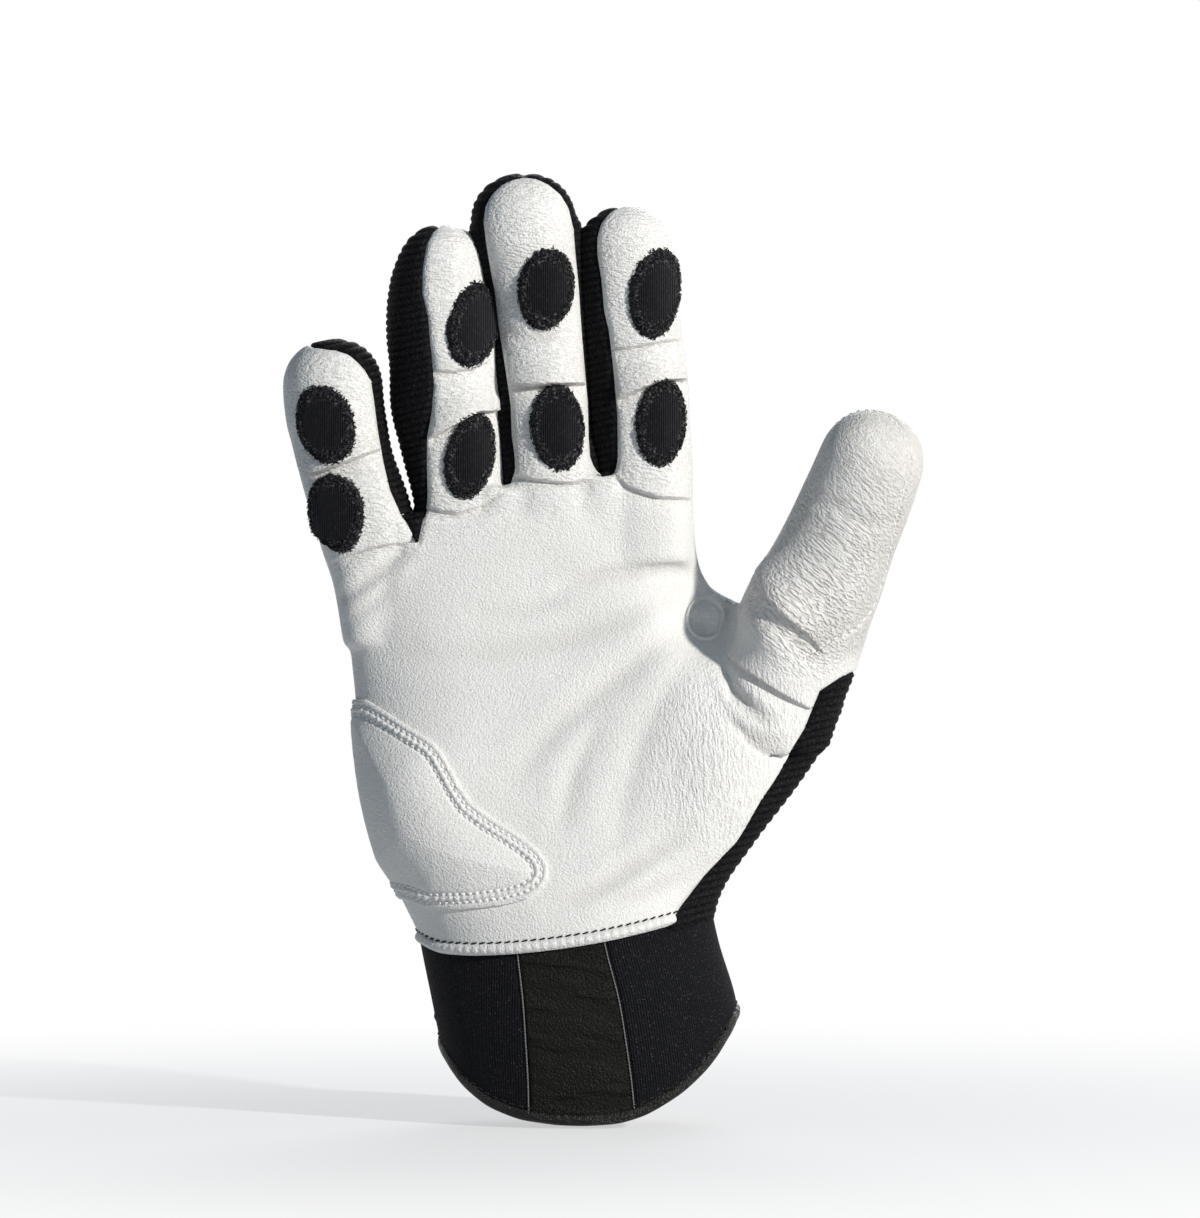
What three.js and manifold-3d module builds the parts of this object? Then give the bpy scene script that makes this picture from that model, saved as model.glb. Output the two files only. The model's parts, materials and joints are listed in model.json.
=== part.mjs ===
// Right-hand batting glove, filled out as on a raised hand with the palm towards -Y and the fingers up +Z.
// Millimetres. The origin is the middle of the wrist opening, level with the lowest point of the hem.
// Leather covers the palm side, ribbed knit the back and the finger sides, neoprene the wrist.
import * as THREE from "three";
import { mergeVertices } from "three/addons/utils/BufferGeometryUtils.js";
import Module from "manifold-3d";

const wasm = await Module();
wasm.setup();

// Driving dimensions: sheet thicknesses and seams
const LEATHER_WALL = 1.2;
const NEOPRENE_WALL = 2.5;
const SEAM_GAP = 0.3;
const FINGER_GAP = 0.4;

// Folds: each stall bends about a line just behind its palm-side leather
const FOLD_DEPTH = 4;
const FINGER_FOLD = 70;
const THUMB_BASE_FOLD = 30;
const THUMB_TIP_FOLD = 55;
const FOLD_CLEARANCE = 3;

// Wrist and palm
const CUFF_WIDTH = 75;
const CUFF_DEPTH = 52;
const CUFF_FLARE = 1.5;
const CUFF_HEIGHT = 46;
const HEM_RISE = 18;
const BINDING_WALL = 1;
const BINDING_HEIGHT = 4.5;
const STRIP_TOP_WIDTH = 21;
const STRIP_HEM_WIDTH = 24.5;
const STRIP_OFFSET = -4;
const SLIT_WIDTH = 6;
const SLIT_OFFSET = 6;
const PALM_LENGTH = 114;
const HEEL_REACH = 59.4;
const THENAR_REACH = 64;
const THENAR_HEIGHT = 66;
const PALM_DEPTH = 31;
const PALM_HEM_HEIGHT = 3.4;
const PALM_HEM_WALL = 0.9;
const FINGER_ROW_RIGHT = 26.8;
const PALM_SIDE_ALLOWANCE = 1.6;
const LEATHER_EDGE_INSET = 7;
const HAND_MIDDLE = 0;

// Finger stalls, from the thumb side: widths at root, middle knuckle and pad, lengths of the two panels,
// how far the root lies below the middle finger's, sideways shift of knuckle and tip, and where the
// leather's two seams lie, in degrees from straight ahead (positive towards the thumb).
const FINGERS = [
  { name: "index", root: 22.8, knuckle: 23.4, pad: 23.6, lower: 32, upper: 39.6, drop: 0,
    knuckleShift: -2.8, tipShift: -4.3, seams: [-42, 112] },
  { name: "middle", root: 24.4, knuckle: 24.2, pad: 24.4, lower: 32.8, upper: 47, drop: 0,
    knuckleShift: -3.4, tipShift: -6, seams: [-66, 66] },
  { name: "ring", root: 20.6, knuckle: 23.6, pad: 22, lower: 29.5, upper: 42.8, drop: 5.5,
    knuckleShift: -5.6, tipShift: -6.8, seams: [-24, 112] },
  { name: "little", root: 21.2, knuckle: 24, pad: 24.6, lower: 23.1, upper: 33.5, drop: 19,
    knuckleShift: -7.8, tipShift: -12.6, seams: [-108, 58] },
];
const FINGER_ROOT_DEPTH = 22;
const FINGER_KNUCKLE_DEPTH = 21.5;
const FINGER_PAD_DEPTH = 20.5;
const FINGER_CURL = 5;

// Grip pads: oval plush patches, two on each finger, turned with the leather they are sewn to
const GRIP_THICKNESS = 1.5;
const GRIPS = {
  index: { turn: 21, lower: { up: 16.1, wide: 12.3, high: 22 }, upper: { up: 17, wide: 12.3, high: 23 } },
  middle: { turn: 9, lower: { up: 15.8, wide: 13.4, high: 22.4 }, upper: { up: 17, wide: 14.3, high: 20.7 } },
  ring: { turn: 32, lower: { up: 14.6, wide: 13.6, high: 20.5 }, upper: { up: 17, wide: 12.9, high: 22.4 } },
  little: { turn: -18, lower: { up: 11.6, wide: 14.4, high: 14.5 }, upper: { up: 13.6, wide: 14.8, high: 17.5 } },
};

// Thumb stall: leans out to the right and forward from the ball of the thumb. Its stub is part of the palm.
const THUMB_ROOT = 31;
const THUMB_PAD = 28;
const THUMB_DEPTH = 25;
const THUMB_STUB = 15;
const THUMB_LOWER = 26;
const THUMB_UPPER = 35;
const THUMB_LEAN = 22;
const THUMB_FORWARD = 20;
const THUMB_SEAMS = [-112, 88];
const THUMB_ROOT_RIGHT = 49;
const THUMB_ROOT_HEIGHT = 66;
const THUMB_ROOT_FRONT = -5;

// Patches on the palm: the padded heel patch and the thumb-crotch gusset
const HEEL_PATCH_HEIGHT = 52;
const HEEL_PATCH_WIDTH = 50;
const HEEL_PATCH_ABOVE_HEM = 9;
const HEEL_FOAM = 2.2;
const HEEL_COVER = 1;
const HEEL_RIM = 4.5;
const GUSSET_WIDTH = 15;
const GUSSET_HEIGHT = 19;
const GUSSET_THICKNESS = 0.9;

// Closure strap across the back of the wrist
const STRAP_TOP_MARGIN = 0.5;
const STRAP_LENGTH = 56;
const STRAP_THICKNESS = 1.8;
const STRAP_TAB_LENGTH = 11;
const LOOP_THICKNESS = 0.8;
const HOOK_THICKNESS = 0.6;
const PAD_LENGTH = 26;
const PAD_MARGIN = 2;

// Fineness of the facets
const SIDES = 16;
const PALM_SIDES = 26;
const CAP_STEPS = 4;
const GRIP_SIDES = 18;
// Cutting solids only have to reach past everything that they cut
const FAR = 150;

const radians = THREE.MathUtils.degToRad;
const whiteLeather = new THREE.MeshStandardMaterial({ color: 0xe4e4e0, roughness: 0.55, metalness: 0 });
const blackKnit = new THREE.MeshStandardMaterial({ color: 0x111114, roughness: 0.95, metalness: 0 });
const blackPlush = new THREE.MeshStandardMaterial({ color: 0x1b1b1d, roughness: 1, metalness: 0 });
const blackNeoprene = new THREE.MeshStandardMaterial({ color: 0x131419, roughness: 0.9, metalness: 0 });
const blackLeather = new THREE.MeshStandardMaterial({ color: 0x1d1c1a, roughness: 0.5, metalness: 0 });
const greyFoam = new THREE.MeshStandardMaterial({ color: 0x8c8c8c, roughness: 1, metalness: 0 });

// A closed three.js geometry as a solid for cutting and joining
function solidOf(geometry) {
  const bare = geometry.index ? geometry.toNonIndexed() : geometry.clone();
  bare.deleteAttribute("normal");
  bare.deleteAttribute("uv");
  const merged = mergeVertices(bare, 1e-4);
  return new wasm.Manifold(
    new wasm.Mesh({
      numProp: 3,
      vertProperties: merged.attributes.position.array,
      triVerts: new Uint32Array(merged.index.array),
    }),
  );
}

// A skin over rings of equal point count, closed by a fan at each end. Rings run upwards, anticlockwise from above.
function loft(rings) {
  const sides = rings[0].length;
  const points = rings.flat();
  const faces = [];
  for (let i = 0; i + 1 < rings.length; i++) {
    for (let j = 0; j < sides; j++) {
      const [a, b] = [i * sides + j, i * sides + ((j + 1) % sides)];
      faces.push(a, b, b + sides, a, b + sides, a + sides);
    }
  }
  for (const [ring, top] of [[0, false], [rings.length - 1, true]]) {
    const middle = new THREE.Vector3();
    rings[ring].forEach((p) => middle.addScaledVector(p, 1 / sides));
    const centre = points.push(middle) - 1;
    for (let j = 0; j < sides; j++) {
      const [a, b] = [ring * sides + j, ring * sides + ((j + 1) % sides)];
      faces.push(centre, top ? a : b, top ? b : a);
    }
  }
  return new THREE.BufferGeometry().setFromPoints(points).setIndex(faces);
}

// An oval ring at one height. It starts straight ahead (-Y) and turns towards +X.
function oval(centreX, centreY, height, halfWidth, halfDepth, sides) {
  return Array.from({ length: sides }, (_, j) => {
    const turn = (2 * Math.PI * j) / sides;
    const z = typeof height === "function" ? height(turn) : height;
    return new THREE.Vector3(centreX + halfWidth * Math.sin(turn), centreY - halfDepth * Math.cos(turn), z);
  });
}

// A pie-slice prism between two directions, whose point follows the given centres upwards
function sector(centres, fromDegrees, toDegrees) {
  const steps = 8;
  const rim = Array.from({ length: steps + 1 }, (_, i) =>
    radians(THREE.MathUtils.lerp(fromDegrees, toDegrees, i / steps)));
  return loft(centres.map((c) => [
    c.clone(),
    ...rim.map((turn) => new THREE.Vector3(c.x + FAR * Math.sin(turn), c.y - FAR * Math.cos(turn), c.z)),
  ]));
}

// A prism along X with the given [y, z] outline, centred on x = 0
function prismAlongX(outline, width) {
  const shape = new THREE.Shape(outline.map(([y, z]) => new THREE.Vector2(y, z)));
  const prism = new THREE.ExtrudeGeometry(shape, { depth: width, bevelEnabled: false });
  prism.translate(0, 0, -width / 2);
  const axes = new THREE.Matrix4().makeBasis(
    new THREE.Vector3(0, 1, 0), new THREE.Vector3(0, 0, 1), new THREE.Vector3(1, 0, 0));
  return prism.applyMatrix4(axes);
}

// What a fold takes away above the lower panel, below the upper panel, and the crease that is left between
function foldCutters(range, width) {
  const rise = FAR * Math.tan(radians((range + FOLD_CLEARANCE) / 2));
  const inset = SEAM_GAP / Math.sin(radians((range + FOLD_CLEARANCE) / 2));
  const half = SEAM_GAP / 2;
  return {
    above: prismAlongX([[FAR, -half], [FAR, FAR], [-FAR, FAR], [-FAR, -half - rise], [0, -half]], width),
    below: prismAlongX([[FAR, half], [0, half], [-FAR, half + rise], [-FAR, -FAR], [FAR, -FAR]], width),
    crease: prismAlongX([[-inset, 0], [-FAR - inset, rise], [-FAR - inset, -rise]], width),
  };
}

function placed(geometry, place) {
  return solidOf(geometry.clone().applyMatrix4(place));
}

function at(point) {
  return new THREE.Matrix4().makeTranslation(point.x, point.y, point.z);
}

// A named mesh from a solid, moved into the group that stands at the given pivot
function addPiece(group, name, solid, material) {
  const made = solid.getMesh();
  const count = made.numVert;
  const positions = new Float32Array(count * 3);
  for (let i = 0; i < count; i++) {
    positions.set(made.vertProperties.subarray(i * made.numProp, i * made.numProp + 3), i * 3);
  }
  const geometry = new THREE.BufferGeometry();
  geometry.setAttribute("position", new THREE.BufferAttribute(positions, 3));
  geometry.setIndex(new THREE.BufferAttribute(new Uint32Array(made.triVerts), 1));
  const origin = group.userData.origin;
  geometry.translate(-origin.x, -origin.y, -origin.z);
  geometry.computeVertexNormals();
  const mesh = new THREE.Mesh(geometry, material);
  mesh.name = name;
  group.add(mesh);
}

// A group standing at a world point inside its parent group
function groupAt(parent, point) {
  const group = new THREE.Group();
  group.userData.origin = point.clone();
  group.position.copy(point).sub(parent.userData.origin);
  parent.add(group);
  return group;
}

const glove = new THREE.Group();
glove.userData.origin = new THREE.Vector3();
const palmBase = CUFF_HEIGHT + SEAM_GAP;
const rootHeight = palmBase + PALM_LENGTH;

// Finger places: the roots stand side by side from the thumb side, each its own width apart
let rowEdge = FINGER_ROW_RIGHT;
const fingers = FINGERS.map((spec) => {
  const rootX = rowEdge - spec.root / 2;
  rowEdge -= spec.root + FINGER_GAP;
  const root = new THREE.Vector3(rootX, HAND_MIDDLE, rootHeight - spec.drop);
  const knuckle = new THREE.Vector3(rootX + spec.knuckleShift, HAND_MIDDLE - FINGER_CURL * 0.2, root.z + spec.lower);
  const tip = new THREE.Vector3(rootX + spec.tipShift, HAND_MIDDLE - FINGER_CURL, knuckle.z + spec.upper);
  return { ...spec, centres: [root, knuckle, tip] };
});
const rowLeft = rowEdge + FINGER_GAP;

// The stall of a finger as a closed form, swollen or shrunk by grow all round
function fingerForm(finger, grow) {
  const [root, knuckle, tip] = finger.centres;
  const padHeight = tip.z - finger.pad / 2;
  const padShare = (padHeight - knuckle.z) / (tip.z - knuckle.z);
  const pad = knuckle.clone().lerp(tip, padShare);
  const tailDrop = FOLD_DEPTH + FINGER_ROOT_DEPTH / 2;
  const tail = root.clone().setZ(root.z - tailDrop - (grow < 0 ? 1 : 0));
  const halfway = (a, b) => a.clone().lerp(b, 0.5);
  const sections = [
    [tail, finger.root, FINGER_ROOT_DEPTH],
    [root, finger.root, FINGER_ROOT_DEPTH],
    [halfway(root, knuckle), (finger.root + finger.knuckle) / 2, (FINGER_ROOT_DEPTH + FINGER_KNUCKLE_DEPTH) / 2],
    [knuckle, finger.knuckle, FINGER_KNUCKLE_DEPTH],
    [halfway(knuckle, pad), (finger.knuckle + finger.pad) / 2, (FINGER_KNUCKLE_DEPTH + FINGER_PAD_DEPTH) / 2],
  ];
  for (let i = 0; i <= CAP_STEPS; i++) {
    const turn = (0.94 * Math.PI * i) / (2 * CAP_STEPS);
    const height = pad.z + (tip.z + grow - pad.z) * Math.sin(turn);
    const centre = pad.clone().lerp(tip, Math.sin(turn)).setZ(height);
    sections.push([centre, (finger.pad + 2 * grow) * Math.cos(turn), (FINGER_PAD_DEPTH + 2 * grow) * Math.cos(turn), true]);
  }
  return loft(sections.map(([c, width, depth, grown]) => {
    const extra = grown ? 0 : grow;
    return oval(c.x, c.y, c.z, width / 2 + extra, depth / 2 + extra, SIDES);
  }));
}

// The fold lines of a finger run along X, just behind the leather at its root and its middle knuckle
function fingerFold(centre, depth) {
  return new THREE.Vector3(centre.x, centre.y - depth / 2 + FOLD_DEPTH, centre.z);
}

// Thumb frame: Z along the stall, X across it, Y towards its back
const thumbTurn = new THREE.Matrix4().makeRotationY(radians(THUMB_LEAN))
  .multiply(new THREE.Matrix4().makeRotationX(radians(THUMB_FORWARD)));
const thumbRoot = new THREE.Vector3(THUMB_ROOT_RIGHT, THUMB_ROOT_FRONT, palmBase + THUMB_ROOT_HEIGHT);
const thumbFrame = at(thumbRoot).multiply(thumbTurn);
const thumbKnuckle = THUMB_STUB + THUMB_LOWER;
const thumbTip = thumbKnuckle + THUMB_UPPER;

function thumbForm(grow) {
  const padHeight = thumbTip - THUMB_PAD / 2;
  const tail = -FOLD_DEPTH - THUMB_DEPTH / 2;
  const rings = [
    oval(0, 0, tail, THUMB_ROOT / 2 + grow, THUMB_DEPTH / 2 + grow, SIDES),
    oval(0, 0, THUMB_STUB, THUMB_ROOT / 2 + grow, THUMB_DEPTH / 2 + grow, SIDES),
    oval(0, 0, thumbKnuckle, (THUMB_ROOT + THUMB_PAD) / 4 + grow, THUMB_DEPTH / 2 + grow, SIDES),
  ];
  for (let i = 0; i <= CAP_STEPS; i++) {
    const turn = (0.94 * Math.PI * i) / (2 * CAP_STEPS);
    const height = padHeight + (thumbTip + grow - padHeight) * Math.sin(turn);
    const shrink = Math.cos(turn);
    rings.push(oval(0, 0, height, (THUMB_PAD / 2 + grow) * shrink, (THUMB_DEPTH / 2 + grow) * shrink, SIDES));
  }
  return loft(rings).applyMatrix4(thumbFrame);
}

// The thumb's front or back as a pie slice along the stall, from a height on its own axis
function thumbSlice(fromDegrees, toDegrees, fromHeight) {
  const spine = [new THREE.Vector3(0, 0, fromHeight), new THREE.Vector3(0, 0, FAR)];
  return solidOf(sector(spine, fromDegrees, toDegrees).applyMatrix4(thumbFrame));
}

// Palm sections from the hem up: left edge, right edge, depth
const palmLeft = rowLeft - PALM_SIDE_ALLOWANCE;
const palmRight = FINGER_ROW_RIGHT + PALM_SIDE_ALLOWANCE;
const palmTop = rootHeight + FOLD_DEPTH + 2;
const wristHalf = CUFF_WIDTH / 2;
const mix = THREE.MathUtils.lerp;
const PALM_SECTIONS = [
  { up: 0, left: -wristHalf, right: wristHalf * 0.92, depth: CUFF_DEPTH - CUFF_FLARE },
  { up: 0.15, left: mix(-wristHalf, -HEEL_REACH, 0.55), right: wristHalf, depth: mix(CUFF_DEPTH, PALM_DEPTH, 0.38) },
  { up: 0.32, left: mix(-wristHalf, -HEEL_REACH, 0.9), right: mix(wristHalf, THENAR_REACH, 0.45),
    depth: mix(CUFF_DEPTH, PALM_DEPTH, 0.62) },
  { up: 0.5, left: -HEEL_REACH, right: mix(wristHalf, THENAR_REACH, 0.92), depth: mix(CUFF_DEPTH, PALM_DEPTH, 0.81) },
  { up: 0.62, left: -HEEL_REACH, right: THENAR_REACH, depth: mix(CUFF_DEPTH, PALM_DEPTH, 0.9) },
  { up: 0.74, left: mix(-HEEL_REACH, palmLeft, 0.5), right: mix(palmRight, THENAR_REACH, 0.4), depth: PALM_DEPTH },
  { up: 0.84, left: palmLeft, right: mix(palmRight, THENAR_REACH, 0.06), depth: mix(PALM_DEPTH, FINGER_ROOT_DEPTH, 0.4) },
  { up: 1, left: palmLeft, right: palmRight, depth: mix(PALM_DEPTH, FINGER_ROOT_DEPTH, 0.7) },
];

function palmForm(grow) {
  const below = grow < 0 ? 1 : 0;
  const rings = PALM_SECTIONS.map(({ up, left, right, depth }, i) => {
    const overrun = i === 0 ? -below : i === PALM_SECTIONS.length - 1 ? below : 0;
    const height = palmBase + up * (palmTop - palmBase) + overrun;
    return oval((left + right) / 2, HAND_MIDDLE, height, (right - left) / 2 + grow, depth / 2 + grow, PALM_SIDES);
  });
  return loft(rings);
}

// The part of the palm that the leather covers: all the front, round the little-finger edge, and up to a seam
// that runs in front of the thumb-side edge from the wrist to the ball of the thumb
function palmFront(grow) {
  const lastSection = PALM_SECTIONS.length - 1;
  return loft(PALM_SECTIONS.map(({ up, left, right }, i) => {
    const overrun = i === 0 ? -5 : i === lastSection ? 5 : 0;
    const height = palmBase + up * (palmTop - palmBase) + overrun;
    const edge = (up > 0.7 ? right + FAR : right - LEATHER_EDGE_INSET) + grow;
    const behind = HAND_MIDDLE + 4 + grow;
    return [
      new THREE.Vector3(left - FAR, -FAR, height),
      new THREE.Vector3(edge, -FAR, height),
      new THREE.Vector3(edge, behind, height),
      new THREE.Vector3(left - FAR, behind, height),
    ];
  }));
}

// A thin layer that follows a form between two offsets
function layer(form, inner, outer) {
  return solidOf(form(outer)).subtract(solidOf(form(inner)));
}

// A prism towards the viewer with the given [x, z] outline, reaching from the hand's middle to the front
function prismAlongY(outline, middle = HAND_MIDDLE) {
  const shape = new THREE.Shape(outline.map(([x, z]) => new THREE.Vector2(x, z)));
  const prism = new THREE.ExtrudeGeometry(shape, { depth: FAR, bevelEnabled: false });
  const axes = new THREE.Matrix4().makeBasis(
    new THREE.Vector3(1, 0, 0), new THREE.Vector3(0, 0, 1), new THREE.Vector3(0, -1, 0));
  return prism.applyMatrix4(axes).translate(0, middle, 0);
}

// Finger stalls
const palmCuts = [];
const outerForms = new Map(fingers.map((f) => [f.name, solidOf(fingerForm(f, FINGER_GAP))]));

function addFinger(finger, index) {
  const [root, knuckle] = finger.centres;
  const rootFold = fingerFold(root, FINGER_ROOT_DEPTH);
  const knuckleFold = fingerFold(knuckle, FINGER_KNUCKLE_DEPTH);
  const cutters = foldCutters(FINGER_FOLD, FAR);
  const aboveRoot = placed(cutters.above, at(rootFold));
  const belowRoot = placed(cutters.below, at(rootFold));
  const aboveKnuckle = placed(cutters.above, at(knuckleFold));
  const belowKnuckle = placed(cutters.below, at(knuckleFold));
  const share = (finger.root + FINGER_GAP) / 2;
  const slotRight = index === 0 ? FAR : share;
  const slotLeft = index === fingers.length - 1 ? FAR : share;
  const slot = foldCutters(FINGER_FOLD, slotLeft + slotRight).above.translate((slotRight - slotLeft) / 2, 0, 0);
  palmCuts.push(placed(slot, at(rootFold)));

  let shell = layer((g) => fingerForm(finger, g), -LEATHER_WALL, 0);
  const neighbour = fingers[index - 1];
  if (neighbour) shell = shell.subtract(outerForms.get(neighbour.name));
  const centres = [finger.centres[0].clone().setZ(0), ...finger.centres, finger.centres[2].clone().setZ(2 * FAR)];
  const [left, right] = finger.seams;
  const seamAngle = THREE.MathUtils.radToDeg(SEAM_GAP / (finger.pad / 2));
  const front = shell.intersect(solidOf(sector(centres, left, right)));
  const back = shell.intersect(solidOf(sector(centres, right + seamAngle, left + 360 - seamAngle)));

  const lowerGroup = groupAt(glove, rootFold);
  const upperGroup = groupAt(lowerGroup, knuckleFold);
  const lowerPart = (solid) => solid.subtract(belowRoot).subtract(aboveKnuckle);
  const upperPart = (solid) => solid.subtract(belowKnuckle);
  addPiece(lowerGroup, `${finger.name}_palm_leather_lower`, lowerPart(front), whiteLeather);
  addPiece(lowerGroup, `${finger.name}_back_knit_lower`, lowerPart(back), blackKnit);
  addPiece(upperGroup, `${finger.name}_palm_leather_upper`, upperPart(front), whiteLeather);
  addPiece(upperGroup, `${finger.name}_back_knit_upper`, upperPart(back), blackKnit);
  const creaseFront = shell.intersect(solidOf(sector(centres, Math.max(left, -80), Math.min(right, 80))));
  addPiece(glove, `${finger.name}_root_crease`, creaseFront.intersect(placed(cutters.crease, at(rootFold))), whiteLeather);
  addPiece(lowerGroup, `${finger.name}_knuckle_crease`,
    creaseFront.intersect(placed(cutters.crease, at(knuckleFold))), whiteLeather);

  const gripLayer = layer((g) => fingerForm(finger, g), SEAM_GAP, SEAM_GAP + GRIP_THICKNESS);
  const { turn, lower, upper } = GRIPS[finger.name];
  const grip = ({ up, wide, high }, from, towards, length) => {
    const centre = from.clone().lerp(towards, up / length);
    const outline = new THREE.CylinderGeometry(1, 1, FAR, GRIP_SIDES).translate(0, FAR / 2, 0);
    const aim = new THREE.Matrix4().makeRotationZ(Math.PI + radians(turn))
      .multiply(new THREE.Matrix4().makeScale(wide / 2, 1, high / 2));
    return gripLayer.intersect(placed(outline, at(centre).multiply(aim)));
  };
  addPiece(lowerGroup, `${finger.name}_grip_lower`, lowerPart(grip(lower, root, knuckle, finger.lower)), blackPlush);
  addPiece(upperGroup, `${finger.name}_grip_upper`, upperPart(grip(upper, knuckle, finger.centres[2], finger.upper)), blackPlush);
}
fingers.forEach(addFinger);

// Thumb stall: leather all round, its front and back panels sewn along the outer edge
const thumbSeamAngle = THREE.MathUtils.radToDeg(SEAM_GAP / (THUMB_PAD / 2));

function addThumb() {
  const inWorld = (point) => point.clone().applyMatrix4(thumbFrame);
  const rootFold = new THREE.Vector3(0, FOLD_DEPTH - THUMB_DEPTH / 2, THUMB_STUB);
  const knuckleFold = new THREE.Vector3(0, FOLD_DEPTH - THUMB_DEPTH / 2, thumbKnuckle);
  const rootCutters = foldCutters(THUMB_BASE_FOLD, FAR);
  const tipCutters = foldCutters(THUMB_TIP_FOLD, FAR);
  const local = (geometry, fold) => placed(geometry, thumbFrame.clone().multiply(at(fold)));
  const slot = foldCutters(THUMB_BASE_FOLD, THUMB_ROOT + 4);
  palmCuts.push(local(slot.above, rootFold));

  const shell = layer(thumbForm, -LEATHER_WALL, 0);
  const [left, right] = THUMB_SEAMS;
  const front = shell.intersect(thumbSlice(left, right, -FAR));
  const back = shell.intersect(thumbSlice(right + thumbSeamAngle, left + 360 - thumbSeamAngle, -FAR));

  const lowerGroup = groupAt(glove, inWorld(rootFold));
  const upperGroup = groupAt(lowerGroup, inWorld(knuckleFold));
  const lowerPart = (solid) =>
    solid.subtract(local(rootCutters.below, rootFold)).subtract(local(tipCutters.above, knuckleFold));
  const upperPart = (solid) => solid.subtract(local(tipCutters.below, knuckleFold));
  addPiece(lowerGroup, "thumb_front_leather_lower", lowerPart(front), whiteLeather);
  addPiece(lowerGroup, "thumb_back_leather_lower", lowerPart(back), whiteLeather);
  addPiece(upperGroup, "thumb_front_leather_upper", upperPart(front), whiteLeather);
  addPiece(upperGroup, "thumb_back_leather_upper", upperPart(back), whiteLeather);
  addPiece(glove, "thumb_root_crease", front.intersect(local(rootCutters.crease, rootFold)), whiteLeather);
  addPiece(lowerGroup, "thumb_knuckle_crease", front.intersect(local(tipCutters.crease, knuckleFold)), whiteLeather);
}
addThumb();

// Palm leather and knit back, open to the wrist, the fingers and the thumb
function addPalm() {
  let shell = solidOf(palmForm(0)).add(solidOf(thumbForm(0)))
    .subtract(solidOf(palmForm(-LEATHER_WALL)))
    .subtract(solidOf(thumbForm(-LEATHER_WALL)));
  palmCuts.forEach((cut) => (shell = shell.subtract(cut)));
  const [left, right] = THUMB_SEAMS;
  const aroundThumb = solidOf(thumbForm(LEATHER_WALL));
  const leatherArea = solidOf(palmFront(0)).add(thumbSlice(left, right, 0).intersect(aroundThumb));
  const leatherReach = solidOf(palmFront(SEAM_GAP))
    .add(thumbSlice(left - thumbSeamAngle, right + thumbSeamAngle, -SEAM_GAP).intersect(aroundThumb));
  addPiece(glove, "palm_leather", shell.intersect(leatherArea), whiteLeather);
  addPiece(glove, "back_knit", shell.subtract(leatherReach), blackKnit);

  const hemBand = prismAlongY([
    [-FAR, palmBase], [wristHalf * 0.92 - LEATHER_EDGE_INSET, palmBase],
    [wristHalf * 0.92 - LEATHER_EDGE_INSET, palmBase + PALM_HEM_HEIGHT], [-FAR, palmBase + PALM_HEM_HEIGHT],
  ]);
  addPiece(glove, "palm_hem", layer(palmForm, SEAM_GAP, SEAM_GAP + PALM_HEM_WALL).intersect(solidOf(hemBand)), whiteLeather);
}
addPalm();

// Padded heel patch over the outer edge of the hand: a leather cover drawn down round a foam pad
function heelOutline(inset) {
  const low = palmBase + HEEL_PATCH_ABOVE_HEM;
  const edge = mix(-wristHalf, -HEEL_REACH, 0.64);
  const middle = new THREE.Vector2(edge + HEEL_PATCH_WIDTH * 0.35, low + HEEL_PATCH_HEIGHT * 0.3);
  const corners = [[0, 1], [0.4, 0.8], [0.66, 0.44], [0.98, 0.22], [0.96, 0.06], [0.5, 0], [0.2, 0.01]];
  const spline = new THREE.SplineCurve(corners.map(([across, up]) => {
    const corner = new THREE.Vector2(edge + across * HEEL_PATCH_WIDTH, low + up * HEEL_PATCH_HEIGHT);
    const inward = middle.clone().sub(corner).setLength(inset);
    return corner.add(inward);
  }));
  const curve = spline.getPoints(16).map((p) => [p.x, p.y]);
  const [first, last] = [curve[0], curve[curve.length - 1]];
  return [[edge - FAR, first[1]], ...curve, [edge - FAR, last[1]]].reverse();
}

function addHeelPad() {
  const foamTop = SEAM_GAP + HEEL_FOAM;
  const crownInset = HEEL_RIM - SEAM_GAP - HEEL_COVER;
  const patch = (inset, reach = 0) => solidOf(prismAlongY(heelOutline(inset), HAND_MIDDLE + reach));
  const foam = layer(palmForm, SEAM_GAP, foamTop).intersect(patch(HEEL_RIM));
  const space = solidOf(palmForm(foamTop + SEAM_GAP)).intersect(patch(HEEL_RIM - SEAM_GAP, SEAM_GAP));
  const rim = layer(palmForm, SEAM_GAP, SEAM_GAP + HEEL_COVER).intersect(patch(0, 2 * SEAM_GAP));
  const crown = layer(palmForm, SEAM_GAP, foamTop + SEAM_GAP + HEEL_COVER).intersect(patch(crownInset, 2 * SEAM_GAP));
  addPiece(glove, "heel_pad_foam", foam, greyFoam);
  addPiece(glove, "heel_pad_cover", rim.add(crown).subtract(space), whiteLeather);
}
addHeelPad();

// Gusset that joins the thumb to the side of the index finger
function addGusset() {
  const outline = new THREE.EllipseCurve(palmRight, thumbRoot.z + THUMB_STUB, GUSSET_WIDTH / 2, GUSSET_HEIGHT / 2)
    .getPoints(GRIP_SIDES).slice(0, -1).map((p) => [p.x, p.y]);
  let patch = layer(palmForm, SEAM_GAP, SEAM_GAP + GUSSET_THICKNESS)
    .intersect(solidOf(prismAlongY(outline)))
    .subtract(solidOf(thumbForm(SEAM_GAP)));
  palmCuts.forEach((cut) => (patch = patch.subtract(cut)));
  addPiece(glove, "thumb_gusset", patch, whiteLeather);
}
addGusset();

// Wrist cuff: two neoprene panels with a leather strip between them on the palm side, bound at the hem
function hemHeight(turn) {
  const ahead = Math.max(0, Math.cos(turn));
  return HEM_RISE * (1 - ahead * ahead);
}

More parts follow.
